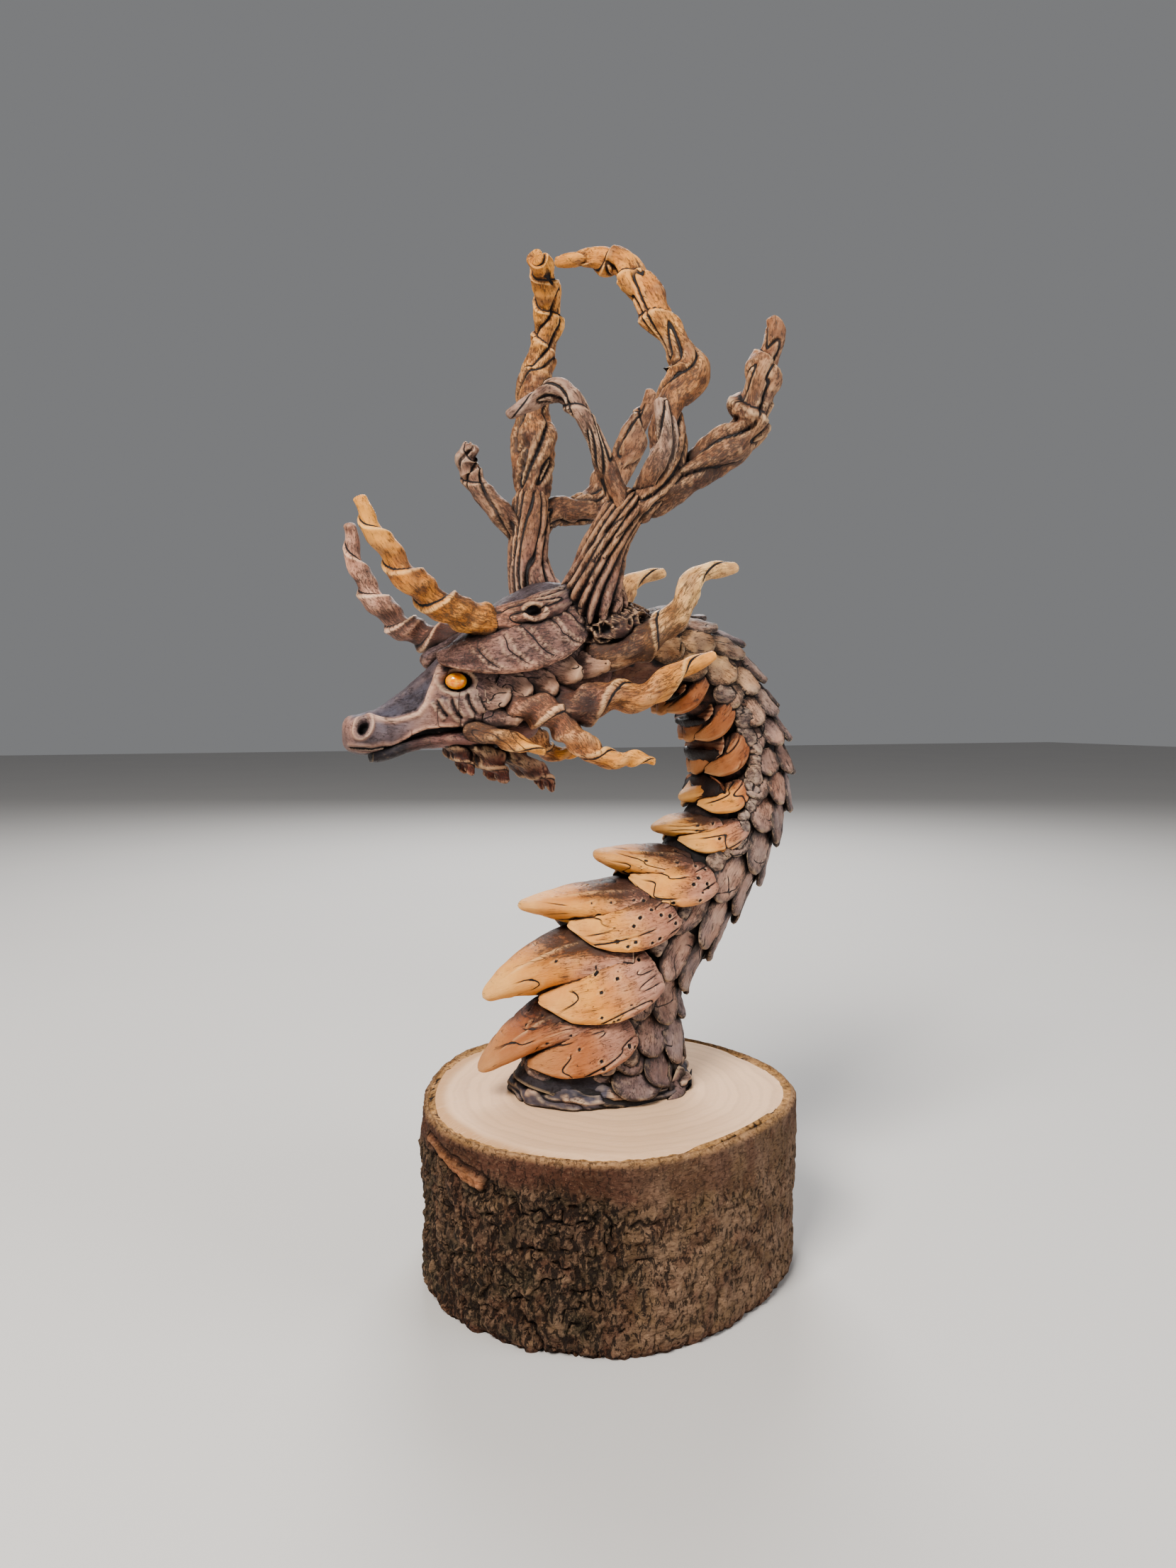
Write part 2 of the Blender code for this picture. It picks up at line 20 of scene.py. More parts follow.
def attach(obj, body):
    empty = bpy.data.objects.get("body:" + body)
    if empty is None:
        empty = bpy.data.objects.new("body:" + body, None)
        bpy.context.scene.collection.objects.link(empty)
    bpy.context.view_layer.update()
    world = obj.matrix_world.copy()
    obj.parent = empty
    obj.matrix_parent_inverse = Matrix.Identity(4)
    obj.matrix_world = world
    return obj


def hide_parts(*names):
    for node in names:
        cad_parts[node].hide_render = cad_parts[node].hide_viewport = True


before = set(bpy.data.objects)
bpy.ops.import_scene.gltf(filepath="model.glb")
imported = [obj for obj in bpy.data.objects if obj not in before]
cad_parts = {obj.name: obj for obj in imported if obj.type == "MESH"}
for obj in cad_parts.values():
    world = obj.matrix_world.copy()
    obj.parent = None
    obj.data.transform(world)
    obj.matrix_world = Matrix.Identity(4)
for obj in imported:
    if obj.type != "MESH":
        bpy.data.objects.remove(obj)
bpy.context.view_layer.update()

LOG = logging.getLogger("dragon")

METRE = 0.001
FOOT_LEVEL = 38.3
TURN = 2 * math.pi
FAR = 9.0

Array = np.ndarray
Shape = Callable[[Array, Array, Array], Array]
Line = Callable[[Array], Array]
Triple = tuple[float, float, float]
Stations = Sequence[tuple[float, ...]]
Mesh = bpy.types.Mesh
Material = bpy.types.Material
Object = bpy.types.Object
Socket = bpy.types.NodeSocket


# Numbers and patterns


def linear(red: float, green: float, blue: float) -> Triple:
    """Gives a screen colour as the linear one that a shader mixes."""
    parts = (red, green, blue)
    return tuple(part / 12.92 if part <= 0.04045 else ((part + 0.055) / 1.055) ** 2.4 for part in parts)


def unit(vectors: Array) -> Array:
    """Gives the vectors a length of one."""
    return vectors / np.maximum(np.linalg.norm(vectors, axis=-1, keepdims=True), 1e-9)


def smooth(low: float | Array, high: float | Array, values: Array) -> Array:
    """Rises softly from 0 at low to 1 at high."""
    share = np.clip((values - low) / (high - low), 0.0, 1.0)
    return share * share * (3 - 2 * share)


def groove(distance: Array, width: float) -> Array:
    """Is 1 on a line and falls to nothing about two widths away from it."""
    return np.exp(-((distance / width) ** 2))


def rounded(share: Array, start: float, end: float) -> Array:
    """Falls to 0 in a quarter circle over the given shares at both ends of a shape.

    Args:
        share: How far along the shape each point is, from 0 to 1.
        start: The share that the first end takes to reach its full size.
        end: The share that the last end takes.

    Returns:
        A factor for the shape's half sizes.
    """
    first = 1 - np.clip(share / max(start, 1e-6), 0, 1)
    last = 1 - np.clip((1 - share) / max(end, 1e-6), 0, 1)
    return np.sqrt(np.maximum(1 - first ** 2, 0)) * np.sqrt(np.maximum(1 - last ** 2, 0))


def along(stations: Stations, share: Array) -> Array:
    """Reads stations on a smooth curve through them.

    Args:
        stations: Rows of numbers, one for each place along a shape.
        share: How far along it is read, from 0 to 1.

    Returns:
        One row of numbers for each share.
    """
    rows = np.asarray(stations, float)
    place = np.clip(share, 0, 1) * (len(rows) - 1)
    index = np.minimum(place.astype(int), len(rows) - 2)
    step = (place - index)[:, None]
    before, start, end, after = (rows[np.clip(index + way, 0, len(rows) - 1)] for way in (-1, 0, 1, 2))
    slope_in, slope_out = (end - before) / 2, (after - start) / 2
    swing = 2 * (start - end) + slope_in + slope_out
    bend = 3 * (end - start) - 2 * slope_in - slope_out
    return ((swing * step + bend) * step + slope_in) * step + start


def scattered(corners: Array, seed: int) -> Array:
    """Gives each whole-numbered corner of space its own number.

    Args:
        corners: Three whole numbers for each.
        seed: Chooses other numbers.

    Returns:
        Numbers from 0 to 1.
    """
    x, y, z = (corners[..., axis].astype(np.int64) for axis in range(3))
    mixed = (x * 73856093) ^ (y * 19349663) ^ (z * 83492791) ^ (seed * 40503 + 977)
    mixed = (mixed & 0x3FFFFFFF) * 1274126177
    mixed = ((mixed >> 15) ^ mixed) & 0x3FFFFFFF
    mixed = (mixed * 668265263) >> 9
    return (mixed & 0xFFFF) / 65535.0


def chance(first: float, second: float, third: float, seed: int) -> float:
    """Draws one number from 0 to 1."""
    return float(scattered(np.array([first, second, third], float), seed))


def noise(places: Array, size: float, seed: int = 0) -> Array:
    """Gives smooth noise from 0 to 1.

    Args:
        places: Points in millimetres.
        size: The width of one bump of the noise.
        seed: Chooses another noise of the same kind.

    Returns:
        One number for each point.
    """
    spot = places / size
    base = np.floor(spot)
    step = spot - base
    step = step * step * (3 - 2 * step)
    total = np.zeros(len(places))
    for corner in np.ndindex(2, 2, 2):
        offset = np.array(corner)
        weight = np.prod(np.where(offset, step, 1 - step), axis=1)
        total += weight * scattered(base + offset, seed)
    return total


def layered(places: Array, size: float, seed: int = 0, octaves: int = 3) -> Array:
    """Adds finer and finer noise to a noise.

    Args:
        places: Points in millimetres.
        size: The width of the first noise's bumps.
        seed: Chooses another noise of the same kind.
        octaves: How many noises are added.

    Returns:
        One number from 0 to 1 for each point.
    """
    total, scale, share = np.zeros(len(places)), 0.0, 1.0
    for octave in range(octaves):
        total += share * noise(places, size / 2 ** octave, seed + 31 * octave)
        scale += share
        share *= 0.5
    return total / scale


def cells(places: Array, size: float, seed: int = 0) -> tuple[Array, Array, Array]:
    """Finds the nearest of points scattered one to a cell.

    Args:
        places: Points in millimetres.
        size: The width of a cell.
        seed: Chooses another scatter.

    Returns:
        The distance to the nearest point, to the next one, and that nearest point's own number from 0 to 1.
    """
    spot = places / size
    base = np.floor(spot)
    nearest = np.full(len(places), FAR)
    second = np.full(len(places), FAR)
    number = np.zeros(len(places))
    for corner in np.ndindex(3, 3, 3):
        cell = base + np.array(corner) - 1
        seeds = np.stack([scattered(cell, seed + axis) for axis in range(3)], axis=1)
        distance = np.linalg.norm(cell + seeds - spot, axis=1)
        closer = distance < nearest
        second = np.where(closer, nearest, np.minimum(second, distance))
        number = np.where(closer, seeds[:, 0], number)
        nearest = np.where(closer, distance, nearest)
    return nearest * size, second * size, number


def from_line(points: Array, line: Stations) -> tuple[Array, Array, Array]:
    """Measures flat points against a line of straight parts.

    Args:
        points: Two numbers for each point.
        line: The corners of the line.

    Returns:
        The distance to the line, the share of the way along it, and on which side of it the point lies.
    """
    corners = np.asarray(line, float)
    lengths = np.linalg.norm(np.diff(corners, axis=0), axis=1)
    starts = np.concatenate([[0], np.cumsum(lengths)])
    best = np.full(len(points), 1e9)
    share = np.zeros(len(points))
    side = np.zeros(len(points))
    for index, length in enumerate(lengths):
        way = (corners[index + 1] - corners[index]) / length
        offset = points - corners[index]
        run = np.clip(offset @ way, 0, length)
        gap = offset - run[:, None] * way
        distance = np.linalg.norm(gap, axis=1)
        closer = distance < best
        best = np.where(closer, distance, best)
        share = np.where(closer, (starts[index] + run) / starts[-1], share)
        side = np.where(closer, np.sign(way[0] * gap[:, 1] - way[1] * gap[:, 0]), side)
    return best, share, side


def veins(places: Array, stretch: Triple, size: float, seed: int,
          outward: Array) -> tuple[Array, Array]:
    """Draws wandering lines where a noise passes its middle.

    Args:
        places: Points in millimetres.
        stretch: How much closer together the lines are along each axis.
        size: About how far apart they are.
        seed: Chooses another set of lines.
        outward: The way out of the surface at the points.

    Returns:
        The noise from -1 to 1, and how far each point is from a line, with a sign on either side of it.
    """
    spot = places * np.array(stretch)
    swing = 2 * noise(spot, size, seed) - 1
    step = 0.05 * size
    ahead = [2 * noise(spot + step * axis, size, seed) - 1 for axis in np.eye(3)]
    slope = np.stack([(value - swing) / step for value in ahead], axis=1)
    slope = slope * np.array(stretch)
    slope = slope - np.sum(slope * outward, axis=1)[:, None] * outward
    return swing, swing / np.maximum(np.linalg.norm(slope, axis=1), 0.25 / size)


def nearest_line(*lines: tuple[Array, Array]) -> tuple[Array, Array]:
    """Joins sets of lines into one.

    Args:
        *lines: Signed distances from the lines of each set, and how strong those lines are.

    Returns:
        The distance from the line that shows most at each point, and its strength, which fades between lines.
    """
    distance, strength = lines[0]
    for other, weight in lines[1:]:
        closer = np.abs(other) - weight < np.abs(distance) - strength
        distance = np.where(closer, other, distance)
        strength = np.where(closer, weight, strength)
    return distance, np.clip(strength, 0, 1) * smooth(0.9, 0.45, np.abs(distance))


# Meshes


def vectors_of(rows: bpy.types.bpy_prop_collection, name: str) -> Array:
    """Reads a place or a direction of each vertex or face.

    Args:
        rows: The vertices, faces or normals.
        name: What is read of them.

    Returns:
        One row of three numbers for each.
    """
    flat = np.empty(len(rows) * 3)
    rows.foreach_get(name, flat)
    return flat.reshape(-1, 3)


def keep(mesh: Mesh, name: str, values: Array) -> None:
    """Stores a number or a colour for each point, for the finish to read.

    Args:
        mesh: The mesh.
        name: The attribute's name.
        values: One number or one row of three for each point.
    """
    if values.ndim == 1:
        mesh.attributes.new(name, "FLOAT", "POINT").data.foreach_set("value", np.ascontiguousarray(values))
    else:
        whole = np.column_stack([values, np.ones(len(values))])
        mesh.attributes.new(name, "FLOAT_COLOR", "POINT").data.foreach_set("color", whole.ravel())


def meshed(name: str, bm: bmesh.types.BMesh) -> Mesh:
    """Turns what was shaped into a mesh, and lets go of it.

    Args:
        name: The mesh's name.
        bm: What was shaped.

    Returns:
        The mesh.
    """
    mesh = bpy.data.meshes.new(name)
    bm.to_mesh(mesh)
    bm.free()
    return mesh


def placed(name: str, data: bpy.types.ID) -> Object:
    """Puts a mesh, a light or a camera in the scene.

    Args:
        name: The object's name.
        data: What it shows.

    Returns:
        The object.
    """
    made = bpy.data.objects.new(name, data)
    bpy.context.scene.collection.objects.link(made)
    return made


def smooth_object(name: str, mesh: Mesh) -> Object:
    """Puts a mesh in the scene with its faces shaded smooth."""
    mesh.shade_smooth()
    return placed(name, mesh)


# Paint


class Paint(Enum):
    """The paints that the clay was rubbed with, as they show on a raised part in even light."""

    GOLD = (0.93, 0.66, 0.34)
    PALE_GOLD = (0.94, 0.76, 0.52)
    ORANGE = (0.78, 0.48, 0.25)
    ROSE = (0.80, 0.60, 0.50)
    PALE_ROSE = (0.92, 0.74, 0.64)
    RUST = (0.52, 0.29, 0.23)
    MAUVE = (0.56, 0.42, 0.40)
    BEIGE = (0.72, 0.61, 0.54)
    TAN = (0.68, 0.51, 0.38)
    BROWN = (0.47, 0.33, 0.27)
    SLATE = (0.33, 0.32, 0.37)
    PALE_SLATE = (0.50, 0.49, 0.54)
    DARK_SLATE = (0.19, 0.18, 0.22)

    @property
    def colour(self) -> Array:
        """The paint's linear colour."""
        return np.array(linear(*self.value))


def blend(first: Array | Paint, second: Array | Paint, share: Array) -> Array:
    """Mixes two paints point by point.

    Args:
        first: The paint where share is 0, or a colour for each point.
        second: The paint where share is 1, or a colour for each point.
        share: How much of the second paint each point gets.

    Returns:
        A colour for each point.
    """
    start = first.colour if isinstance(first, Paint) else first
    end = second.colour if isinstance(second, Paint) else second
    weight = np.clip(share, 0, 1)[:, None]
    return start * (1 - weight) + end * weight


class Graph:
    """A material whose nodes are added and joined one after another."""

    def __init__(self, name: str) -> None:
        """Starts a material with an empty Principled shader."""
        self.material = bpy.data.materials.new(name)
        self.material.use_nodes = True
        self.tree = self.material.node_tree
        self.shader = self.tree.nodes["Principled BSDF"]

    def node(self, kind: str, settings: dict[str, object] | None = None, **inputs: object) -> bpy.types.Node:
        """Adds one node.

        Args:
            kind: The node's type, without its prefix.
            settings: The node's own properties.
            **inputs: Values or sockets for its inputs, by name with underscores for spaces.

        Returns:
            The node.
        """
        made = self.tree.nodes.new("ShaderNode" + kind)
        for key, value in (settings or {}).items():
            setattr(made, key, value)
        for key, value in inputs.items():
            self.put(made.inputs[key.replace("_", " ")], value)
        return made

    def put(self, socket: Socket, value: object) -> None:
        """Joins a socket to the input, or sets the input's value."""
        if isinstance(value, Socket):
            self.tree.links.new(value, socket)
        else:
            socket.default_value = value

    def add(self, first: object, second: object) -> Socket:
        """Adds two numbers."""
        return self.math("ADD", first, second)

    def less(self, first: object, second: object) -> Socket:
        """Takes the second number from the first."""
        return self.math("SUBTRACT", first, second)

    def times(self, first: object, second: object) -> Socket:
        """Multiplies two numbers."""
        return self.math("MULTIPLY", first, second)

    def most(self, first: object, second: object) -> Socket:
        """Gives the larger of two numbers."""
        return self.math("MAXIMUM", first, second)

    def object_place(self) -> Socket:
        """Gives the point's place on its object."""
        return self.node("TexCoord").outputs["Object"]

    def attribute(self, name: str) -> bpy.types.Node:
        """Reads a number or colour kept on the mesh."""
        return self.node("Attribute", {"attribute_name": name, "attribute_type": "GEOMETRY"})

    def wear(self) -> bpy.types.bpy_prop_collection:
        """Reads how dark a point is, its distance from a cut line and that line's strength."""
        return self.node("SeparateXYZ", Vector=self.attribute("wear").outputs["Color"]).outputs

    def math(self, kind: str, *values: object) -> Socket:
        """Works out one number.

        Args:
            kind: The sum's kind.
            *values: Sockets or numbers.

        Returns:
            The result.
        """
        made = self.node("Math", {"operation": kind})
        for socket, value in zip(made.inputs, values):
            self.put(socket, value)
        return made.outputs[0]

    def scaled(self, vector: Socket, scale: Triple) -> Socket:
        """Stretches a place before a pattern reads it.

        Args:
            vector: The place.
            scale: How much closer together the pattern comes along each axis.

        Returns:
            The stretched place.
        """
        made = self.node("Mapping", Vector=vector)
        made.inputs["Scale"].default_value = scale
        return made.outputs[0]

    def pattern(self, vector: Socket, scale: float, detail: float = 3.0,
                roughness: float = 0.55, distortion: float = 0.0) -> Socket:
        """Adds a noise texture and gives its grey value."""
        return self.node("TexNoise", Vector=vector, Scale=scale, Detail=detail, Roughness=roughness,
                         Distortion=distortion).outputs[0]

    def spread(self, value: Socket, low: float, high: float, start: float = 0.0,
               end: float = 1.0) -> Socket:
        """Maps a range of a value to another, softly and no further."""
        return self.node("MapRange", {"interpolation_type": "SMOOTHSTEP"}, Value=value, From_Min=low,
                         From_Max=high, To_Min=start, To_Max=end).outputs[0]

    def mix(self, share: object, first: object, second: object, kind: str = "MIX") -> Socket:
        """Mixes two colours.

        Args:
            share: How much of the second one.
            first: The first colour.
            second: The second colour.
            kind: The way they are mixed.

        Returns:
            The colour.
        """
        made = self.node("Mix", {"data_type": "RGBA", "blend_type": kind})
        self.put(made.inputs[0], share)
        self.put(made.inputs[6], first)
        self.put(made.inputs[7], second)
        return made.outputs[2]

    def darkened(self, colour: Socket, share: object, darkening: Triple) -> Socket:
        """Darkens a colour by another, as much as share says, for stains and for painted shade."""
        # Multiplies by the darkening colour, which is a stain at some calls and painted shade at others.
        return self.mix(share, colour, self.mix(1.0, colour, opaque(darkening), "MULTIPLY"))

    def bump(self, height: Socket, strength: float, distance: float,
             after: Socket | None = None) -> Socket:
        """Adds a bump.

        Args:
            height: The height that it is worked out from.
            strength: How strong it is, from 0 to 1.
            distance: The height of 1, in metres.
            after: Another bump under it.

        Returns:
            The normal.
        """
        made = self.node("Bump", Height=height, Strength=strength, Distance=distance)
        if after is not None:
            self.put(made.inputs["Normal"], after)
        return made.outputs[0]

    def dress(self, **inputs: object) -> Material:
        """Sets or joins the shader's inputs.

        Args:
            **inputs: Values or sockets, by the inputs' names with underscores for spaces.

        Returns:
            The material.
        """
        for key, value in inputs.items():
            self.put(self.shader.inputs[key.replace("_", " ")], value)
        return self.material


def opaque(colour: Triple) -> tuple[float, float, float, float]:
    """Adds full cover to a screen colour, made linear."""
    return (*linear(*colour), 1.0)


@dataclass(frozen=True)
class RubbedClay:
    """Baked clay, painted dark and rubbed back on its raised parts, with the paint left in its scratches and
    painted shade where it is shut in.
    """

    # The near-black of the dark wash, which the finish also lays as painted shade in the most shut-in places.
    wash_and_shade: Triple = (0.12, 0.095, 0.10)
    # The colour that dirt and painted shade darken the clay towards.
    darkening: Triple = (0.58, 0.42, 0.40)
    roughness: float = 0.50

    def material(self) -> Material:
        """Builds the finish, which reads the paint and the painted shade kept on the mesh."""
        graph = Graph("rubbed_clay")
        place = graph.object_place()
        grain = graph.attribute("grain").outputs["Color"]
        tint = graph.attribute("tint").outputs["Color"]
        wear = graph.wear()
        soil = graph.attribute("soil").outputs["Fac"]
        wash_and_shade = graph.attribute("wash_and_shade").outputs["Fac"]
        ridge = graph.attribute("ridge").outputs["Fac"]

        streaks = graph.pattern(graph.scaled(grain, (0.35, 2.0, 2.0)), 1.0, 6.0, 0.72)
        stipple = graph.pattern(place, 1700.0, 3.0, 0.65)
        speckle = graph.pattern(graph.scaled(grain, (1.3, 3.2, 3.2)), 1.0, 7.0, 0.78)
        scratch = graph.pattern(graph.scaled(grain, (0.17, 1.15, 1.15)), 1.0, 1.0, 0.5, 0.15)
        blotch = graph.pattern(place, 240.0, 5.0, 0.65)
        cloud = graph.pattern(place, 95.0, 4.0, 0.6)

        # Painted shade and dirt: how shut in each point is, plus its dirt, less on raised parts.
        depth = graph.add(graph.times(wash_and_shade, 0.55), graph.times(soil, 0.24))
        depth = graph.less(depth, graph.times(ridge, 0.12))
        shaded = graph.darkened(tint, graph.spread(cloud, 0.36, 0.66, 0.0, 0.6), (0.86, 0.74, 0.66))
        # Dirt in blotches and streaks, darkened further by painted shade where the clay is shut in.
        grime_and_shade = graph.add(graph.times(graph.add(blotch, streaks), 0.5), depth)
        grimy_and_shaded = graph.darkened(shaded, graph.spread(grime_and_shade, 0.52, 0.86, 0.0, 0.92), self.darkening)
        lit = graph.mix(graph.times(ridge, 0.7), grimy_and_shaded,
                        graph.mix(0.5, grimy_and_shaded, opaque((1.0, 0.86, 0.66)), "SCREEN"))

        residue = graph.add(speckle, graph.times(graph.less(blotch, 0.5), 0.35))
        crumbs = graph.spread(graph.add(residue, depth), 0.665, 0.735)
        drag = graph.spread(graph.add(streaks, graph.times(depth, 0.8)), 0.68, 0.78)
        scratch = graph.math("ABSOLUTE", graph.less(scratch, 0.5))
        scratch = graph.add(scratch, graph.times(speckle, 0.012))
        scratch = graph.spread(scratch, 0.009, 0.021, 1.0, 0.0)
        patchy = graph.spread(graph.add(blotch, graph.times(soil, 0.25)), 0.52, 0.68)
        scratch = graph.times(scratch, patchy)
        flecks = graph.most(graph.most(crumbs, drag), scratch)
        flecked = graph.mix(graph.times(flecks, 0.85), lit, graph.mix(0.14, opaque(self.wash_and_shade), tint))
        # Painted shade: the clay goes darker where it is shut in.
        deep = graph.darkened(flecked, graph.spread(wash_and_shade, 0.08, 0.50, 0.0, 0.95), (0.36, 0.27, 0.27))
        line = graph.add(graph.math("ABSOLUTE", wear[1]), graph.times(graph.less(speckle, 0.5), 0.22))
        line = graph.spread(line, 0.10, 0.20, 1.0, 0.0)
        line = graph.times(line, graph.spread(wear[2], 0.05, 0.85))
        # Near-black in cuts and holes, and painted shade in the most shut-in places.
        marks_and_shade = graph.most(graph.spread(wear[0], 0.36, 0.62), graph.spread(wash_and_shade, 0.58, 0.92))
        marked_and_shaded = graph.mix(graph.most(line, marks_and_shade), deep, opaque(self.wash_and_shade))

        fine = graph.bump(stipple, 0.4, 0.00014)
        worn = graph.bump(graph.add(streaks, graph.times(speckle, 0.8)), 0.7, 0.00030, fine)
        scored = graph.bump(graph.most(line, graph.times(flecks, 0.45)), 0.9, -0.00024, worn)
        gloss = graph.spread(stipple, 0.3, 0.7, self.roughness - 0.08, self.roughness + 0.14)
        return graph.dress(Base_Color=marked_and_shaded, Roughness=gloss, Normal=scored, Specular_IOR_Level=0.45)


@dataclass(frozen=True)
class Amber:
    """Glossy amber of the eye beads, clouded inside."""

    core: Triple = (1.0, 0.70, 0.14)
    rim: Triple = (0.93, 0.50, 0.05)

    def material(self) -> Material:
        """Builds the finish."""
        graph = Graph("amber")
        place = graph.object_place()
        cloud = graph.pattern(place, 800.0, 3.0, 0.6)
        veil = graph.pattern(graph.scaled(place, (900.0, 900.0, 2600.0)), 1.0, 2.0)
        colour = graph.mix(graph.spread(cloud, 0.36, 0.62), opaque(self.rim), opaque(self.core))
        colour = graph.mix(graph.spread(veil, 0.5, 0.75, 0.0, 0.5), colour, opaque((1.0, 0.80, 0.35)))
        return graph.dress(Base_Color=colour, Roughness=graph.spread(cloud, 0.3, 0.7, 0.12, 0.2),
                           Coat_Weight=0.8, Coat_Roughness=0.05, Subsurface_Weight=0.25,
                           Subsurface_Scale=0.0015)


@dataclass(frozen=True)
class Bark:
    """Rough bark: a reddish band under the sawn edge, grey-brown flakes below it and black cracks."""

    band: Triple = (0.37, 0.235, 0.18)
    flake: Triple = (0.35, 0.265, 0.21)
    olive: Triple = (0.27, 0.23, 0.17)
    grey: Triple = (0.57, 0.46, 0.37)
    deep: Triple = (0.10, 0.060, 0.045)

    def material(self) -> Material:
        """Builds the finish, which reads the paint and the painted shade kept on the mesh."""
        graph = Graph("bark")
        place = graph.object_place()
        tint = graph.attribute("tint").outputs["Color"]
        wear = graph.wear()
        ridge = graph.attribute("ridge").outputs["Fac"]
        wash_and_shade = graph.attribute("wash_and_shade").outputs["Fac"]
        fibre = graph.pattern(graph.scaled(place, (900.0, 900.0, 2400.0)), 1.0, 5.0, 0.65)
        grit = graph.pattern(place, 1900.0, 3.0, 0.7)
        patch = graph.pattern(place, 130.0, 4.0, 0.6)
        base = graph.darkened(tint, graph.spread(patch, 0.38, 0.62, 0.0, 0.6), (0.80, 0.78, 0.66))
        base = graph.darkened(base, graph.spread(fibre, 0.45, 0.66, 0.0, 0.7), (0.55, 0.46, 0.42))
        base = graph.mix(graph.spread(grit, 0.58, 0.72, 0.0, 0.6), base,
                         graph.mix(0.4, base, opaque((0.78, 0.66, 0.55)), "SCREEN"))
        base = graph.mix(graph.times(ridge, 0.5), base, opaque(self.grey))
        # Painted shade: the bark goes darker where it is shut in.
        base = graph.darkened(base, graph.spread(wash_and_shade, 0.12, 0.8, 0.0, 0.8), (0.40, 0.28, 0.24))
        coarse = graph.attribute("soil").outputs["Fac"]
        nick = graph.pattern(graph.scaled(place, (1000.0, 1000.0, 480.0)), 1.0, 6.0, 0.72, 0.6)
        chip = graph.pattern(graph.scaled(place, (380.0, 380.0, 620.0)), 1.0, 6.0, 0.75, 0.8)
        base = graph.mix(graph.times(graph.spread(chip, 0.52, 0.62), coarse), base,
                         graph.mix(0.45, base, opaque(self.grey)))
        nick = graph.spread(graph.add(nick, graph.times(coarse, 0.06)), 0.565, 0.63)
        nick = graph.times(nick, graph.spread(coarse, 0.0, 0.7, 0.25, 1.0))
        crack = graph.add(graph.math("ABSOLUTE", wear[1]), graph.times(nick, -0.2))
        crack = graph.spread(crack, 0.06, 0.24, 1.0, 0.0)
        crack = graph.times(crack, graph.spread(wear[2], 0.2, 0.9))
        dark = graph.most(graph.most(crack, graph.times(nick, 0.85)),
                          graph.spread(wear[0], 0.30, 0.85))
        colour = graph.mix(dark, base, opaque(self.deep))
        rough = graph.bump(fibre, 0.7, 0.0005, graph.bump(grit, 0.5, 0.00025))
        rough = graph.bump(dark, 0.9, -0.0006, graph.bump(chip, 0.8, 0.0007, rough))
        matt = graph.spread(grit, 0.3, 0.7, 0.72, 0.92)
        return graph.dress(Base_Color=colour, Roughness=matt, Normal=rough, Specular_IOR_Level=0.3)


@dataclass(frozen=True)
class SawnWood:
    """The pale sawn end of the log, with faint rings and fuzzy grain."""

    pale: Triple = (0.88, 0.74, 0.61)
    ring: Triple = (0.79, 0.655, 0.54)
    heart: Triple = (0.74, 0.58, 0.45)
    edge: Triple = (0.72, 0.55, 0.38)

    def material(self) -> Material:
        """Builds the finish."""
        graph = Graph("sawn_wood")
        place = graph.object_place()
        drift = graph.pattern(graph.scaled(place, (1.0, 1.0, 0.0)), 45.0, 3.0)
        parts = graph.node("SeparateXYZ", Vector=place)
        across = graph.add(parts.outputs[0], -0.003)
        aside = graph.add(parts.outputs[1], 0.002)
        reach = graph.math("SQRT", graph.add(graph.times(across, across), graph.times(aside, aside)))
        warped = graph.add(reach, graph.times(drift, 0.006))
        wave = graph.math("SINE", graph.times(warped, 2600.0))
        wide = graph.math("SINE", graph.times(warped, 880.0))
        fuzz = graph.pattern(place, 2600.0, 3.0, 0.7)
        saw = graph.pattern(graph.scaled(place, (260.0, 3800.0, 1.0)), 1.0, 3.0, 0.6)
        colour = graph.mix(graph.spread(wave, 0.1, 1.0, 0.0, 0.30), opaque(self.pale), opaque(self.ring))
        colour = graph.mix(graph.spread(wide, 0.2, 1.0, 0.0, 0.30), colour, opaque(self.ring))
        colour = graph.mix(graph.spread(reach, 0.0, 0.012, 0.30, 0.0), colour, opaque(self.heart))
        near_edge = graph.add(reach, graph.times(drift, 0.003))
        colour = graph.mix(graph.spread(near_edge, 0.0385, 0.0412, 0.0, 0.8), colour, opaque(self.edge))
        colour = graph.mix(graph.spread(saw, 0.52, 0.66, 0.0, 0.22), colour, opaque((0.92, 0.82, 0.73)))
        colour = graph.mix(graph.spread(fuzz, 0.66, 0.74, 0.0, 0.45), colour, opaque((0.66, 0.52, 0.40)))
        normal = graph.bump(saw, 0.25, 0.00012, graph.bump(fuzz, 0.3, 0.0001))
        rough = graph.spread(fuzz, 0.3, 0.7, 0.66, 0.84)
        return graph.dress(Base_Color=colour, Roughness=rough, Normal=normal, Specular_IOR_Level=0.3)


@dataclass(frozen=True)
class PaleFloor:
    """The plain pale ground."""

    colour: Triple = (0.80, 0.79, 0.78)

    def material(self) -> Material:
        """Builds the finish."""
        graph = Graph("pale_floor")
        haze = graph.pattern(graph.object_place(), 6.0, 2.0)
        shade = opaque((0.76, 0.75, 0.75))
        colour = graph.mix(graph.spread(haze, 0.3, 0.7, 0.0, 0.15), opaque(self.colour), shade)
        return graph.dress(Base_Color=colour, Roughness=0.85)


# Clay shapes


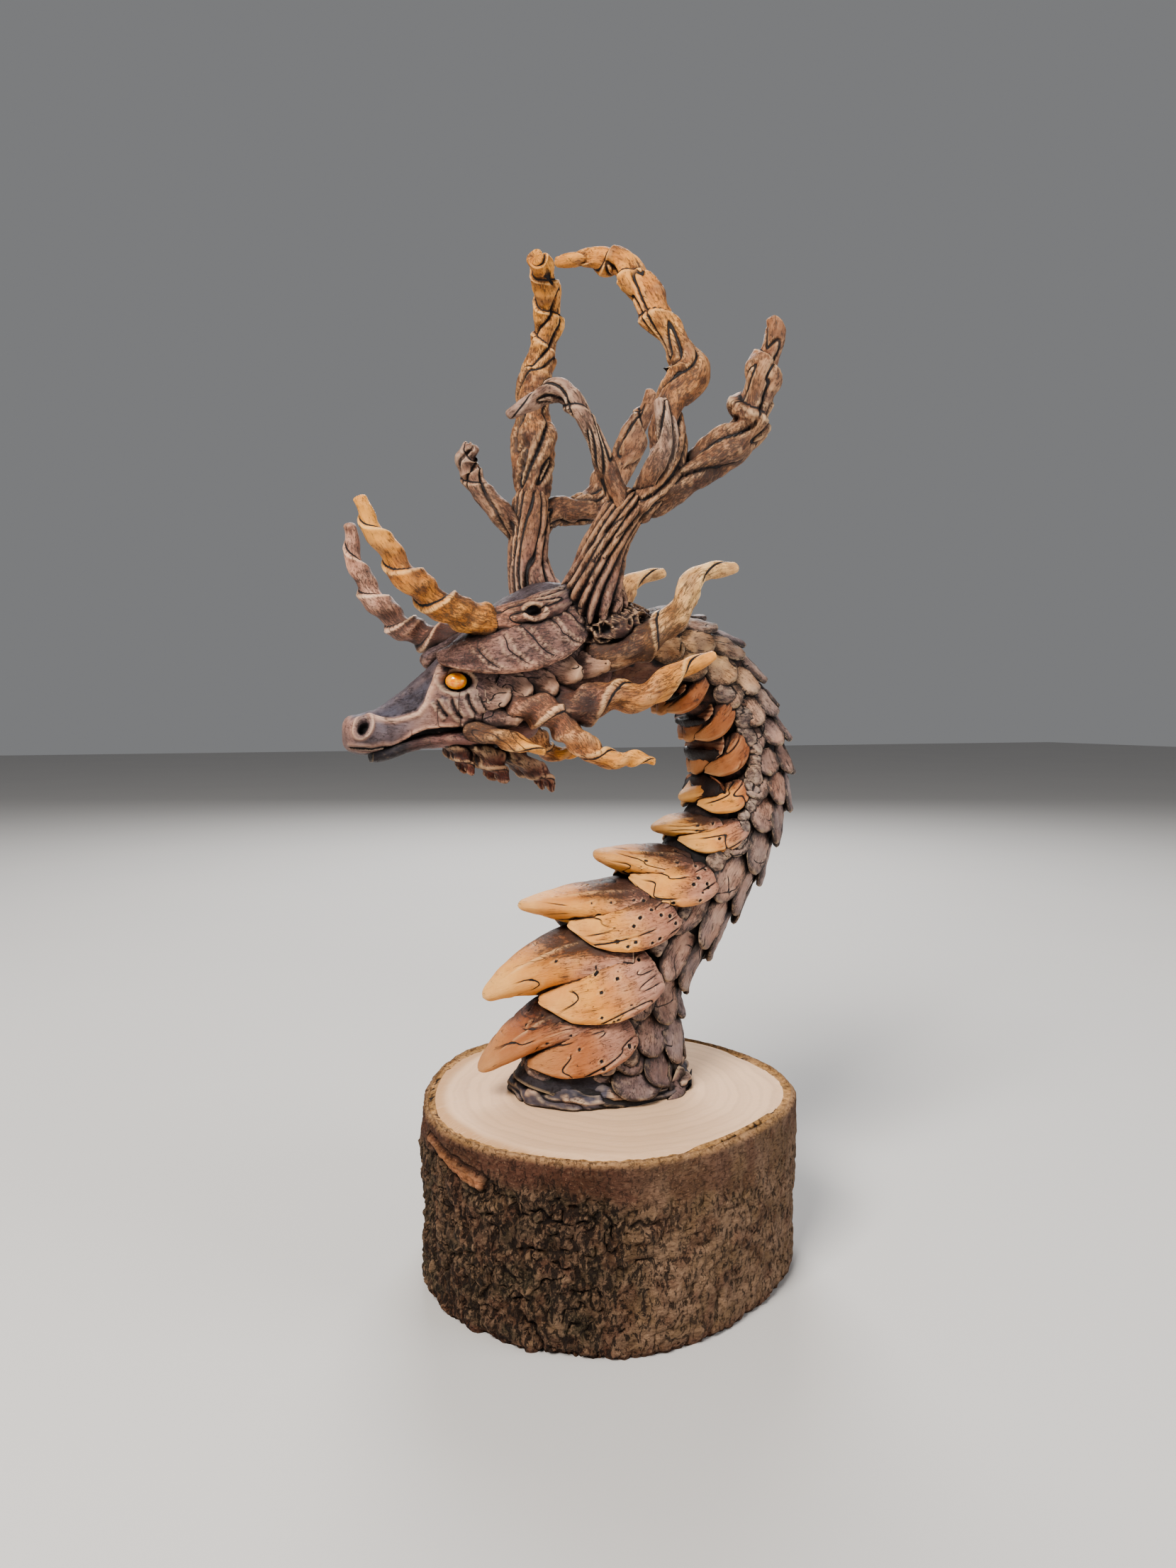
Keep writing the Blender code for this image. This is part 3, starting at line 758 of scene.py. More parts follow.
class Lump:
    """One rolled piece of clay, with its paint, before it is pressed on with the others."""

    def __init__(self, sides: int, rings: int, shape: Shape, crowd: float = 0.0, favour: float = 0.0) -> None:
        """Rolls a ball and pulls it to shape.

        Args:
            sides: How many faces go round it.
            rings: How many go along it.
            shape: Gives each point's place from its share of the way along, its angle, and 0 at a pole or 1.
            crowd: How much closer together the rings are at the ends, from 0 to 0.9.
            favour: How much closer together the points are at an angle of 90 degrees, from 0 to 0.9.
        """
        ball = bmesh.new()
        bmesh.ops.create_uvsphere(ball, u_segments=sides, v_segments=rings, radius=1.0)
        self.mesh = meshed("lump", ball)
        x, y, z = vectors_of(self.mesh.vertices, "co").T
        count = len(x)
        share = np.arccos(np.clip(z, -1, 1)) / math.pi
        pole = (share < 1e-4) | (share > 1 - 1e-4)
        self.grown = np.where(pole, 0.0, 1.0)
        turn = np.arctan2(y, x)
        self.angle = np.where(pole, 0.0, turn + favour * np.cos(turn))
        self.share = share - crowd * np.sin(TURN * share) / TURN
        self.points = shape(self.share, self.angle, self.grown)
        self.tint = np.tile(Paint.MAUVE.colour, (count, 1))
        self.mark = np.zeros(count)
        self.cut = np.full(count, FAR)
        self.score = np.zeros(count)
        self.soil = np.full(count, 0.5)
        self.grain = self.points.copy()
        self.settle()
        if self.volume() < 0:
            self.mesh.flip_normals()

    def settle(self) -> None:
        """Writes the points to the mesh."""
        self.mesh.vertices.foreach_set("co", self.points.ravel())
        self.mesh.update()

    def volume(self) -> float:
        """Gives six times the volume, which is negative where the faces point inwards."""
        self.mesh.calc_loop_triangles()
        corners = np.empty(len(self.mesh.loop_triangles) * 3, np.int32)
        self.mesh.loop_triangles.foreach_get("vertices", corners)
        a, b, c = (self.points[corners.reshape(-1, 3)[:, index]] for index in range(3))
        return float(np.einsum("ij,ij->", a, np.cross(b, c)))

    def normals(self) -> Array:
        """Gives the way out of the clay at each point."""
        return vectors_of(self.mesh.vertex_normals, "vector")

    def carve(self, height: Array, mark: Array | None = None) -> None:
        """Raises or cuts the surface and darkens what is cut.

        Args:
            height: How far out each point goes, in millimetres, below 0 for a cut.
            mark: How much dark paint stays in it, from 0 to 1.
        """
        self.points = self.points + height[:, None] * self.normals()
        if mark is not None:
            self.mark = np.maximum(self.mark, np.clip(mark, 0, 1))
        self.settle()

    def engrave(self, distance: Array, strength: Array, depth: float, width: float) -> None:
        """Cuts thin lines where a field passes 0, which the finish then draws dark and crisp.

        Args:
            distance: About how far each point is from a line, with a sign on either side of it.
            strength: How strong the line is there, from 0 to 1.
            depth: How deep the lines go.
            width: Half their width.
        """
        self.carve(-depth * groove(distance, width) * strength)
        self.cut, self.score = nearest_line((distance, strength))

    def dirty(self, soil: float) -> None:
        """Leaves the same dirt all over."""
        self.soil = np.full(len(self.points), soil)

    def paint(self, tint: Array | Paint) -> None:
        """Rubs one paint, or a colour for each point, on the whole lump."""
        self.tint = np.tile(tint.colour, (len(self.points), 1)) if isinstance(tint, Paint) else tint


class Heap:
    """The lumps of one piece of the figure, in the order in which they were pressed on."""

    def __init__(self, name: str) -> None:
        """Starts an empty heap."""
        self.name = name
        self.bm = bmesh.new()
        self.tints: list[Array] = []
        self.wears: list[Array] = []
        self.grains: list[Array] = []

    def press(self, lump: Lump) -> None:
        """Presses a finished lump on.

        Args:
            lump: The lump, whose own mesh is let go.
        """
        lump.settle()
        self.bm.from_mesh(lump.mesh)
        bpy.data.meshes.remove(lump.mesh)
        shift = 17.3 * len(self.tints)
        self.tints.append(lump.tint)
        self.wears.append(np.column_stack([lump.mark, lump.cut, lump.score, lump.soil]))
        self.grains.append(lump.grain + np.array([shift, 0.7 * shift, -0.4 * shift]))

    def bake(self, finish: Material) -> Object:
        """Sets the heap on the wood as one object.

        Args:
            finish: The material of all its lumps.

        Returns:
            The object, which keeps its paint as attributes.
        """
        bmesh.ops.transform(self.bm, matrix=Matrix.Scale(METRE, 4) @ Matrix.Translation((0, 0, FOOT_LEVEL)),
                            verts=self.bm.verts)
        mesh = meshed(self.name, self.bm)
        keep_paint(mesh, np.concatenate(self.tints), np.concatenate(self.wears), np.concatenate(self.grains))
        mesh.materials.append(finish)
        return smooth_object(self.name, mesh)


class ClayPiece:
    """A piece of the figure that is pressed together from lumps."""

    name: str

    def fill(self, heap: Heap) -> None:
        """Presses the piece's lumps on, one after another."""
        raise NotImplementedError

    def build(self, finish: Material) -> Object:
        """Makes the piece.

        Args:
            finish: The clay's material.

        Returns:
            The piece as one object.
        """
        heap = Heap(self.name)
        self.fill(heap)
        return heap.bake(finish)


def keep_paint(mesh: Mesh, tint: Array, wear: Array, grain: Array) -> None:
    """Stores the paint on a mesh.

    Args:
        mesh: The mesh, its points in the order of the other arguments.
        tint: The colour of the raised surface.
        wear: For each point how dark it is, its distance from a cut line, that line's strength, and its dirt.
        grain: Places along and round each lump, in millimetres.
    """
    for name, values in (("tint", tint), ("grain", grain), ("wear", wear[:, :3]), ("soil", wear[:, 3])):
        keep(mesh, name, values)


def keep_relief(made: Object, tree: BVHTree, reach: float, rays: int = 6) -> None:
    """Stores how shut in each point is, which the clay's finish paints as dark wash and painted shade and the
    bark's as painted shade, and how raised it is.

    Args:
        made: The object.
        tree: All the surfaces that can shut a point in.
        reach: How far away a surface still does, in metres.
        rays: How many ways each point looks.
    """
    mesh = made.data
    points, normals = vectors_of(mesh.vertices, "co"), vectors_of(mesh.vertex_normals, "vector")
    count = len(points)
    helper = np.where(np.abs(normals[:, 2:]) < 0.8, np.array([0.0, 0.0, 1.0]), np.array([1.0, 0.0, 0.0]))
    aside = unit(np.cross(normals, helper))
    upward = np.cross(normals, aside)
    shut = np.zeros(count)
    starts = (points + normals * 0.00012).tolist()
    for ray in range(rays):
        turn = TURN * ray / (rays - 1)
        lean = 0.0 if ray == rays - 1 else 1.25
        ways = unit(normals + lean * (math.cos(turn) * aside + math.sin(turn) * upward)).tolist()
        hits = [tree.ray_cast(start, way, reach)[3] for start, way in zip(starts, ways)]
        shut += np.array([0.0 if hit is None else 1 - hit / reach for hit in hits])
    # Painted shade: the share of short rays that hit something, kept for the finishes to darken with.
    keep(mesh, "wash_and_shade", shut / rays)

    edges = np.empty(len(mesh.edges) * 2, np.int32)
    mesh.edges.foreach_get("vertices", edges)
    first, second = edges.reshape(-1, 2).T
    step = points[second] - points[first]
    length = np.maximum(np.linalg.norm(step, axis=1), 1e-9)
    lean_out, lean_back = (np.einsum("ij,ij->i", step, normals[end]) / length for end in (first, second))
    rise = np.bincount(first, lean_out, count) - np.bincount(second, lean_back, count)
    bent = -rise / np.maximum(np.bincount(edges, minlength=count), 1)
    keep(mesh, "ridge", np.clip(bent * 3.2 - 0.15, 0, 1))


class Way:
    """A smooth line through stations, with a frame that goes along it without twisting."""

    def __init__(self, stations: Stations, samples: int = 240) -> None:
        """Lays the line.

        Args:
            stations: x, y, z and radius at a few places, in millimetres.
            samples: How many points the line is kept as.
        """
        rows = along(stations, np.linspace(0, 1, samples))
        self.middle = rows[:, :3]
        self.radius = rows[:, 3]
        self.ahead = unit(np.gradient(self.middle, axis=0))
        steps = np.linalg.norm(np.diff(self.middle, axis=0), axis=1)
        self.run = np.concatenate([[0], np.cumsum(steps)])
        start = np.array([0.0, 0.31, 0.95]) if abs(self.ahead[0][2]) < 0.9 else np.array([0.0, 1.0, 0.0])
        sides = [unit(np.cross(self.ahead[0], start))]
        for way in self.ahead[1:]:
            sides.append(unit(sides[-1] - way * np.dot(sides[-1], way)))
        self.side = np.array(sides)
        self.up = np.cross(self.side, self.ahead)

    @property
    def length(self) -> float:
        """How long the line is."""
        return float(self.run[-1])

    def read(self, values: Array, share: Array) -> Array:
        """Reads something that the line keeps for each of its points.

        Args:
            values: One number or one row of numbers for each point of the line.
            share: How far along the line it is read.

        Returns:
            The number or row at each share.
        """
        spots = np.linspace(0, 1, len(self.run))
        if values.ndim == 1:
            return np.interp(share, spots, values)
        return np.stack([np.interp(share, spots, values[:, axis]) for axis in range(values.shape[1])], axis=1)


@dataclass
class Rope:
    """A horn, tine, spike or strand: a tapering roll of clay, wrapped, fluted and folded."""

    stations: Stations
    sides: int = 36
    rings: int = 110
    wraps: float = 0.0
    wrap_height: float = 0.0
    wrap_from: float = 0.0
    flutes: int = 0
    flute_depth: float = 0.0
    flute_turns: float = 0.0
    fold: float = 0.0
    fold_size: float = 2.6
    fold_turns: float = 0.5
    scoring: float = 0.6
    line_width: float = 1.0
    roughness: float = 0.05
    flatness: float = 0.0
    near: Paint = Paint.TAN
    far: Paint = Paint.GOLD
    soil: float = 0.5
    clean_tip: float = 0.6
    seed: int = 0
    swell: Line | None = None

    def folds(self, made: Lump, radius: Array, run: Array) -> tuple[Array, Array]:
        """Works out folds that run along the roll.

        Args:
            made: The rolled lump.
            radius: Its radius at each point.
            run: How far along it each point is, in millimetres.

        Returns:
            How far out each point goes, and about how far it is from the bottom of a fold.
        """
        turn = made.angle + TURN * self.fold_turns * made.share
        around = np.stack([np.zeros(len(turn)), np.cos(turn), np.sin(turn)], axis=1)
        spot = radius[:, None] * around + np.outer(run, np.array([1.0, 0.0, 0.0]))
        drift = 0.9 * layered(spot * np.array([0.5, 1, 1]), 2.2, self.seed + 2, 2)[:, None]
        spot = spot + drift + 7.7 * self.seed
        swing, distance = veins(spot, (0.26, 1.0, 1.0), self.fold_size, self.seed + 9, around)
        height = radius * self.fold * (np.abs(swing) ** 0.6 - 0.55) - 0.9 * self.fold * groove(distance, 0.45)
        return height, distance

    def wrapping(self, made: Lump, spot: Array) -> tuple[Array, Array]:
        """Works out the turns of a wrapped roll, each with a step down to the next.

        Args:
            made: The rolled lump.
            spot: The points along and round it.

        Returns:
            The height of each point against the radius, and how dark the seam is.
        """
        phase = self.wraps * made.share - made.angle / TURN
        phase = phase + 0.13 * (layered(spot, 5.0, self.seed + 3, 2) - 0.5)
        phase = phase - np.floor(phase)
        turn = smooth(0.0, 0.78, phase) * (1 - smooth(0.90, 1.0, phase))
        seam = np.maximum(smooth(0.93, 0.985, phase), 1 - smooth(0.0, 0.05, phase))
        strength = smooth(self.wrap_from - 0.06, self.wrap_from + 0.06, made.share)
        return strength * self.wrap_height * (turn - 0.62), strength * seam * 0.75

    def lump(self) -> Lump:
        """Rolls the clay, wraps and folds it, and paints it.

        Returns:
            The finished roll.
        """
        way = Way(self.stations)
        end = min(0.4, self.stations[-1][3] / way.length)
        start = min(0.3, self.stations[0][3] / way.length)

        def shape(share: Array, angle: Array, grown: Array) -> Array:
            """Rolls the clay round the line."""
            radius = way.read(way.radius, share) * grown * rounded(share, start, end)
            radius = radius * (1 + self.flatness * np.cos(2 * (angle - TURN * self.wraps * share)))
            if self.swell is not None:
                radius = radius * self.swell(share)
            side, up = way.read(way.side, share), way.read(way.up, share)
            out = np.cos(angle)[:, None] * side + np.sin(angle)[:, None] * up
            return way.read(way.middle, share) + radius[:, None] * out

        made = Lump(self.sides, self.rings, shape, crowd=0.55)
        radius = way.read(way.radius, made.share)
        run = way.read(way.run, made.share)
        made.grain = np.stack([run, radius * np.cos(made.angle), radius * np.sin(made.angle)], axis=1)
        spot = made.grain + np.array([7.1, 3.3, 5.7]) * (self.seed + 1)
        fade = rounded(made.share, 0.04, 0.05)

        height = self.roughness * radius * (layered(spot, 2.2, self.seed) - 0.5) * 2
        mark = np.zeros(len(height))
        if self.wraps and self.wrap_height:
            turn_height, mark = self.wrapping(made, spot)
            height += radius * turn_height
        nothing = np.zeros(len(height))
        lines = [(nothing + FAR, nothing)]
        patchy = smooth(0.30, 0.50, layered(spot, 4.5, self.seed + 15, 2)) * fade
        patchy = patchy * smooth(1.0, 0.80, made.share)
        low = smooth(0.55, 0.05, made.share)
        if self.flutes:
            turn = made.angle + TURN * self.flute_turns * made.share
            turn = turn + 1.1 * (noise(made.grain * np.array([0.22, 1, 1]), 5.0, self.seed + 5) - 0.5)
            wave = np.sin(turn * self.flutes / 2)
            height += radius * self.flute_depth * (1 + low) * (np.abs(wave) ** 0.6 - 0.75)
            lines.append((wave * radius * 2 / self.flutes / (1 + 1.6 * low), nothing + 0.95 * fade))
        if self.fold:
            fold_height, fold_distance = self.folds(made, radius, run)
            height += fold_height
            lines.append((fold_distance / self.line_width, self.scoring * patchy))
        made.carve(height * fade, mark * fade)
        made.cut, made.score = nearest_line(*lines)

        change = smooth(0.05, 0.8, made.share + 0.45 * (layered(spot, 4.0, self.seed + 20) - 0.5))
        made.paint(blend(self.near, self.far, change))
        shade = smooth(0.48, 0.72, layered(spot, 3.2, self.seed + 24)) * self.soil
        made.paint(blend(made.tint, Paint.BROWN, shade * (1 - self.clean_tip * made.share)))
        made.soil = self.soil * (1 - self.clean_tip * smooth(0.25, 1.0, made.share))
        return made


def petal(spine: Line, outward: Line, half_width: Line, half_thickness: Line, camber: float = 0.0,
          lens: float = 1.15) -> Shape:
    """Describes a flat leaf of clay.

    Args:
        spine: Its middle line.
        outward: The way its face looks.
        half_width: Half its width along the line.
        half_thickness: Half its thickness.
        camber: How far its edges bend down.
        lens: How thin its edges are, 1 for an oval section.

    Returns:
        The shape for a lump.
    """

    def shape(share: Array, angle: Array, grown: Array) -> Array:
        """Presses the leaf flat along its middle line."""
        middle = spine(share)
        way = unit(spine(np.minimum(share + 0.02, 1)) - spine(np.maximum(share - 0.02, 0)))
        side = unit(np.cross(way, outward(share)))
        face = np.cross(side, way)
        across = np.cos(angle) * half_width(share) * grown
        rise = np.sin(angle)
        lift = np.sign(rise) * np.abs(rise) ** lens * half_thickness(share) * grown
        widest = float(half_width(np.array([0.5]))[0])
        lift = lift - camber * (across / widest) ** 2
        return middle + across[:, None] * side + lift[:, None] * face

    return shape


def nugget(middle: Array, up: Array, aside: Array, out: Array, fullness: float = 1.0,
           squareness: float = 1.0) -> Shape:
    """Describes a bead or a block of clay.

    Args:
        middle: Its place.
        up: From its middle to its top.
        aside: From its middle to its side.
        out: From its middle to its face.
        fullness: 1 for an egg, less for a fuller shape.
        squareness: 1 for an oval section, less for a squarer one.

    Returns:
        The shape for a lump.
    """

    def shape(share: Array, angle: Array, grown: Array) -> Array:
        """Presses the nugget."""
        flat = np.sin(math.pi * share) ** fullness * grown
        across = flat * np.cos(angle)
        across = np.sign(across) * np.abs(across) ** squareness
        rise = np.outer(np.cos(math.pi * share), up)
        return middle + rise + np.outer(across, aside) + np.outer(flat * np.sin(angle), out)

    return shape


def thinned(start: float, loss: float, first: float, last: float) -> Line:
    """Gives a thickness that is lost evenly along a shape, rounded over a share of it at both ends."""
    return lambda share: (start - loss * share) * rounded(share, first, last)


def curve(start: Array, middle: Array, end: Array) -> Line:
    """Gives a bend from start to end, pulled towards middle."""

    def read(share: Array) -> Array:
        """Gives the places on the bend."""
        step = share[:, None]
        return (1 - step) ** 2 * start + 2 * step * (1 - step) * middle + step ** 2 * end

    return read


def steady(x: float, y: float, z: float) -> Line:
    """Gives the same way at every share."""
    return lambda share: np.tile(np.array([x, y, z]), (len(share), 1))


# The neck


@dataclass
class Neck(ClayPiece):
    """The neck's core with its back scales, the pebbles beside the plates and the rough clay at the foot."""

    stations: Stations = (
        (-0.6, -1.0, 21.0, 14.5), (0.8, 4.6, 17.2, 13.2), (4.0, 11.2, 13.3, 11.8), (7.3, 24.5, 10.4, 10.6),
        (18.0, 39.5, 11.0, 10.4), (27.8, 52.4, 10.6, 10.2), (33.0, 63.1, 10.0, 9.5), (33.5, 72.4, 9.4, 9.0),
        (30.4, 81.8, 8.8, 8.6), (24.2, 89.9, 9.3, 8.6), (14.0, 94.3, 9.2, 8.7), (3.0, 95.4, 8.6, 8.8),
        (-6.0, 96.0, 8.4, 9.0))
    name: str = "neck_scales"
    length: float = 172.0
    scale_rows: int = 17
    first_row: float = 0.092
    last_row: float = 0.86
    scales_in_row: int = 6
    pebbles_in_all: int = 64
    foot_lumps: int = 17
    foot_depth: float = 21.4
    foot_width: float = 14.6
    skirt_height: float = 5.6

    def frame_at(self, share: Array) -> tuple[Array, Array, Array, Array]:
        """Reads the neck's form.

        Args:
            share: How far up the neck.

        Returns:
            Its middle, the way to its front, its half depth and its half width at each share.
        """
        x, z, depth, width = along(self.stations, share).T
        ahead, behind = along(self.stations, share + 0.01), along(self.stations, share - 0.01)
        level = np.zeros(len(share))
        up = unit(np.stack([ahead[:, 0] - behind[:, 0], level, ahead[:, 1] - behind[:, 1]], axis=1))
        front = np.stack([-up[:, 2], level, up[:, 0]], axis=1)
        return np.stack([x, level, z], axis=1), front, depth, width

    def skin(self, share: Array, angle: Array | float, rise: Array | float = 0.0) -> Array:
        """Finds a place on the neck's skin.

        Args:
            share: How far up the neck.
            angle: Degrees round it, 0 at the belly, 90 on the left and 180 at the back.
            rise: How far out of the skin.

        Returns:
            The places.
        """
        middle, front, depth, width = self.frame_at(share)
        turn = np.radians(angle) * np.ones(len(share))
        place = middle + ((depth + rise) * np.cos(turn))[:, None] * front
        place[:, 1] += -(width + rise) * np.sin(turn)
        return place

    def core(self) -> Lump:
        """Rolls the core that everything is laid on.

        Returns:
            The core.
        """

        def shape(share: Array, angle: Array, grown: Array) -> Array:
            """Rolls the clay round the neck's middle."""
            middle, front, depth, width = self.frame_at(share)
            place = middle + (grown * depth * np.cos(angle))[:, None] * front
            place[:, 1] += grown * width * np.sin(angle)
            return place

        made = Lump(56, 80, shape)
        rough = layered(made.points, 3.0, 4)
        made.carve(0.9 * (rough - 0.6), smooth(0.5, 0.3, rough) * 0.7)
        made.paint(blend(Paint.DARK_SLATE, Paint.BROWN, smooth(0.2, 0.9, made.share)))
        return made

    def scale(self, share: float, angle: float, size: float, seed: int) -> Lump:
        """Shapes one scale, its free end towards the foot.

        Args:
            share: How far up the neck its middle is.
            angle: Degrees round the neck.
            size: Its size against its neighbours'.
            seed: Its own number.

        Returns:
            The scale.
        """
        depth = float(self.frame_at(np.array([share]))[2][0])
        reach = (0.80 * depth + 1.6) * size / self.length
        tilt = 5.0 * (chance(seed, 3, 1, 5) - 0.5)
        lift = 0.5 * (chance(seed, 5, 2, 6) - 0.5)
        way = unit(self.skin(np.array([share]), angle, 1.0) - self.skin(np.array([share]), angle))[0]

        def spine(t: Array) -> Array:
            """Rises from the skin to the free end."""
            rise = -0.7 + (2.3 + lift) * t + 0.35 * t ** 6
            return self.skin(share + reach * (0.5 - t), angle + tilt * t, rise)

        def half_width(t: Array) -> Array:
            """Is widest near the free end."""
            side = np.sin(math.pi * (0.16 + 0.84 * t) ** 1.25)
            return (0.345 * size * depth * np.maximum(side, 0) ** 0.55 + 0.25) * rounded(t, 0.02, 0.05)

        leaf = petal(spine, steady(*way), half_width, thinned(1.05, 0.35, 0.02, 0.08), camber=0.45, lens=1.0)
        made = Lump(26, 20, leaf, crowd=0.3, favour=0.45)
        outer = smooth(-0.1, 0.4, made.normals() @ way)
        across = np.abs(np.cos(made.angle))
        wave = layered(made.points + seed, 2.4, seed)
        dip = 0.30 * smooth(0.9, 0.2, across) * smooth(1.0, 0.6, made.share)
        made.carve(outer * (0.95 * (wave - 0.5) - dip))
        _, lines = veins(made.points + 3.0 * seed, (0.5, 1.0, 0.5), 2.4, seed + 70, made.normals())
        broken = smooth(0.48, 0.62, layered(made.points, 3.2, seed + 71, 2))
        made.engrave(lines * 1.3, 0.9 * outer * broken, 0.14, 0.25)
        made.grain = np.stack([made.share * reach * self.length, np.cos(made.angle) * half_width(made.share),
                               0.6 * np.sin(made.angle)], axis=1)
        made.soil = 0.45 + 0.50 * smooth(0.45, 1.0, across) + 0.25 * (wave - 0.5)
        edge = smooth(0.62, 1.0, np.maximum(across, smooth(0.55, 1.0, made.share) * 0.95))
        whole = np.ones(len(edge))
        back = smooth(95, 170, abs(angle if angle <= 180 else 360 - angle)) * whole
        tone = blend(Paint.BEIGE, Paint.ROSE, 0.5 * chance(seed, 1, 1, 9) * whole)
        tone = blend(tone, Paint.PALE_SLATE, 0.55 * back)
        tone = blend(tone, Paint.SLATE, 0.55 * smooth(0.30, 0.10, share * whole))
        tone = blend(tone, Paint.PALE_GOLD, 0.65 * smooth(0.62, 0.80, share * whole) * (1 - back))
        tone = blend(tone, Paint.SLATE, 0.40 * smooth(0.42, 0.66, layered(made.points, 4.5, seed + 40)))
        made.paint(blend(tone, Paint.DARK_SLATE, 0.60 * edge))
        return made

    def scales(self, heap: Heap) -> None:
        """Lays the overlapping rows of scales.

        Args:
            heap: The piece that they are pressed on.
        """
        for row in range(self.scale_rows):
            share = self.first_row + (self.last_row - self.first_row) * row / (self.scale_rows - 1)
            count = self.scales_in_row + row % 2
            for column in range(count):
                seed = 10 * row + column
                jog = chance(seed, 8, 4, 2) - 0.5
                angle = 180 + 205 / self.scales_in_row * (column - (count - 1) / 2) + 4 * jog
                size = 1.0 + 0.16 * (chance(seed, 2, 7, 3) - 0.5)
                heap.press(self.scale(share + 0.004 * jog, angle, size, seed))

    def pebbles(self, heap: Heap) -> None:
        """Presses small beads of clay between the plates' rear ends and the scales.

        Args:
            heap: The piece that they are pressed on.
        """
        for index in range(self.pebbles_in_all):
            half, side = divmod(index, 2)
            luck = chance(index, 1, 1, 11)
            share = 0.10 + 0.62 * half / (self.pebbles_in_all // 2 - 1) + 0.006 * luck
            angle = (68 + 13 * chance(index, 4, 2, 12)) * (1 if side else -1)
            size = 1.3 + 0.9 * luck
            middle = self.skin(np.array([share]), angle, 0.8)[0]
            out = unit(self.skin(np.array([share]), angle, 2.0)[0] - middle)
            up = unit(self.skin(np.array([share + 0.01]), angle, 0.8)[0] - middle)
            aside = np.cross(out, up)
            bead = nugget(middle, 1.3 * size * up, 1.05 * size * aside, 0.95 * size ** 0.5 * out, 0.8)
            made = Lump(14, 11, bead)
            made.carve(0.9 * (layered(made.points, 1.6, index) - 0.5))
            made.paint(blend(Paint.BEIGE, Paint.SLATE, layered(made.points, 2.5, 60)))
            made.dirty(0.7)
            heap.press(made)

    def skirt(self) -> Lump:
        """Shapes the low dark collar of clay that spreads on the wood.

        Returns:
            The collar.
        """

        def shape(share: Array, angle: Array, grown: Array) -> Array:
            """Spreads the clay, its rim turned under."""
            rising = np.clip(share / 0.62, 0, 1)
            under = np.clip((share - 0.62) / 0.38, 0, 1)
            height = self.skirt_height * (1 + 0.22 * np.sin(3 * angle + 0.8) + 0.14 * np.sin(7 * angle))
            lift = height * (1 - rising ** 2.2)
            reach = np.sin(0.5 * math.pi * rising) ** 0.7 - 0.03 * groove(rising - 1, 0.12)
            reach = reach * np.cos(0.5 * math.pi * under) * grown
            reach = reach * (1 + 0.020 * np.sin(5 * angle) + 0.015 * np.sin(9 * angle + 1))
            x, y = self.foot_depth * reach * np.cos(angle) - 0.6, self.foot_width * reach * np.sin(angle)
            return np.stack([x, y, lift * (under < 0.01)], axis=1)

        made = Lump(150, 56, shape)
        fold = layered(made.points * np.array([1.0, 1.0, 1.5]), 5.0, 14)
        _, lines = veins(made.points, (0.6, 0.6, 1.6), 4.2, 15, made.normals())
        patch = smooth(0.52, 0.60, layered(made.points, 5.5, 21)) * smooth(0.8, 1.8, made.points[:, 2])
        nearest, _, luck = cells(made.points, 1.9, 8)
        pit = smooth(0.62, 0.30, nearest) * (luck > 0.30) * patch
        made.carve(2.2 * (fold - 0.5) + 0.5 * patch - 0.7 * pit - 0.6 * groove(lines, 0.5), pit)
        made.cut, made.score = nearest_line((lines, 0.8 * smooth(0.4, 0.6, fold)))
        made.points[:, 2] = np.maximum(made.points[:, 2], 0.0)
        tone = blend(Paint.DARK_SLATE, Paint.SLATE, smooth(0.35, 0.65, fold))
        made.paint(blend(tone, Paint.BEIGE, 0.75 * patch))
        made.soil = 0.15 + 0.5 * patch
        return made

    def foot(self, heap: Heap) -> None:
        """Presses the collar on, and the blocky pieces of clay that close the gap above it.

        Args:
            heap: The piece that they are pressed on.
        """
        heap.press(self.skirt())
        for index in range(self.foot_lumps):
            turn = TURN * (index + 0.3 * math.sin(2.3 * index)) / self.foot_lumps
            size = 3.0 + 0.6 * math.sin(2.1 * index) + 0.4 * math.cos(5.3 * index)
            middle = np.array([(self.foot_depth - 4.4) * math.cos(turn) - 0.3,
                               (self.foot_width - 3.2) * math.sin(turn),
                               self.skirt_height + 0.6 + 1.2 * (index % 2)])
            away = unit(np.array([math.cos(turn) / self.foot_depth, math.sin(turn) / self.foot_width, 0.022]))
            aside = unit(np.cross(away, np.array([0.0, 0.0, 1.0])))
            up = np.cross(aside, away)
            block = nugget(middle, 0.85 * size * up, 1.15 * size * aside, 1.5 * away, 0.75, 0.8)
            made = Lump(26, 18, block)
            nearest, _, luck = cells(made.points, 1.9, 8)
            pit = smooth(0.62, 0.30, nearest) * (luck > 0.55)
            fold = layered(made.points, 3.0, 14 + index)
            made.carve(1.5 * (fold - 0.5) - 0.6 * pit, pit)
            tone = blend(Paint.SLATE, Paint.BEIGE, smooth(0.4, 0.7, fold))
            made.paint(blend(tone, Paint.PALE_SLATE, 0.4 * fold))
            made.dirty(0.7)
            heap.press(made)

    def fill(self, heap: Heap) -> None:
        """Presses the neck's lumps on, from the core outwards.

        Args:
            heap: The piece that they are pressed on.
        """
        heap.press(self.core())
        self.scales(heap)
        self.pebbles(heap)
        self.foot(heap)


# The belly


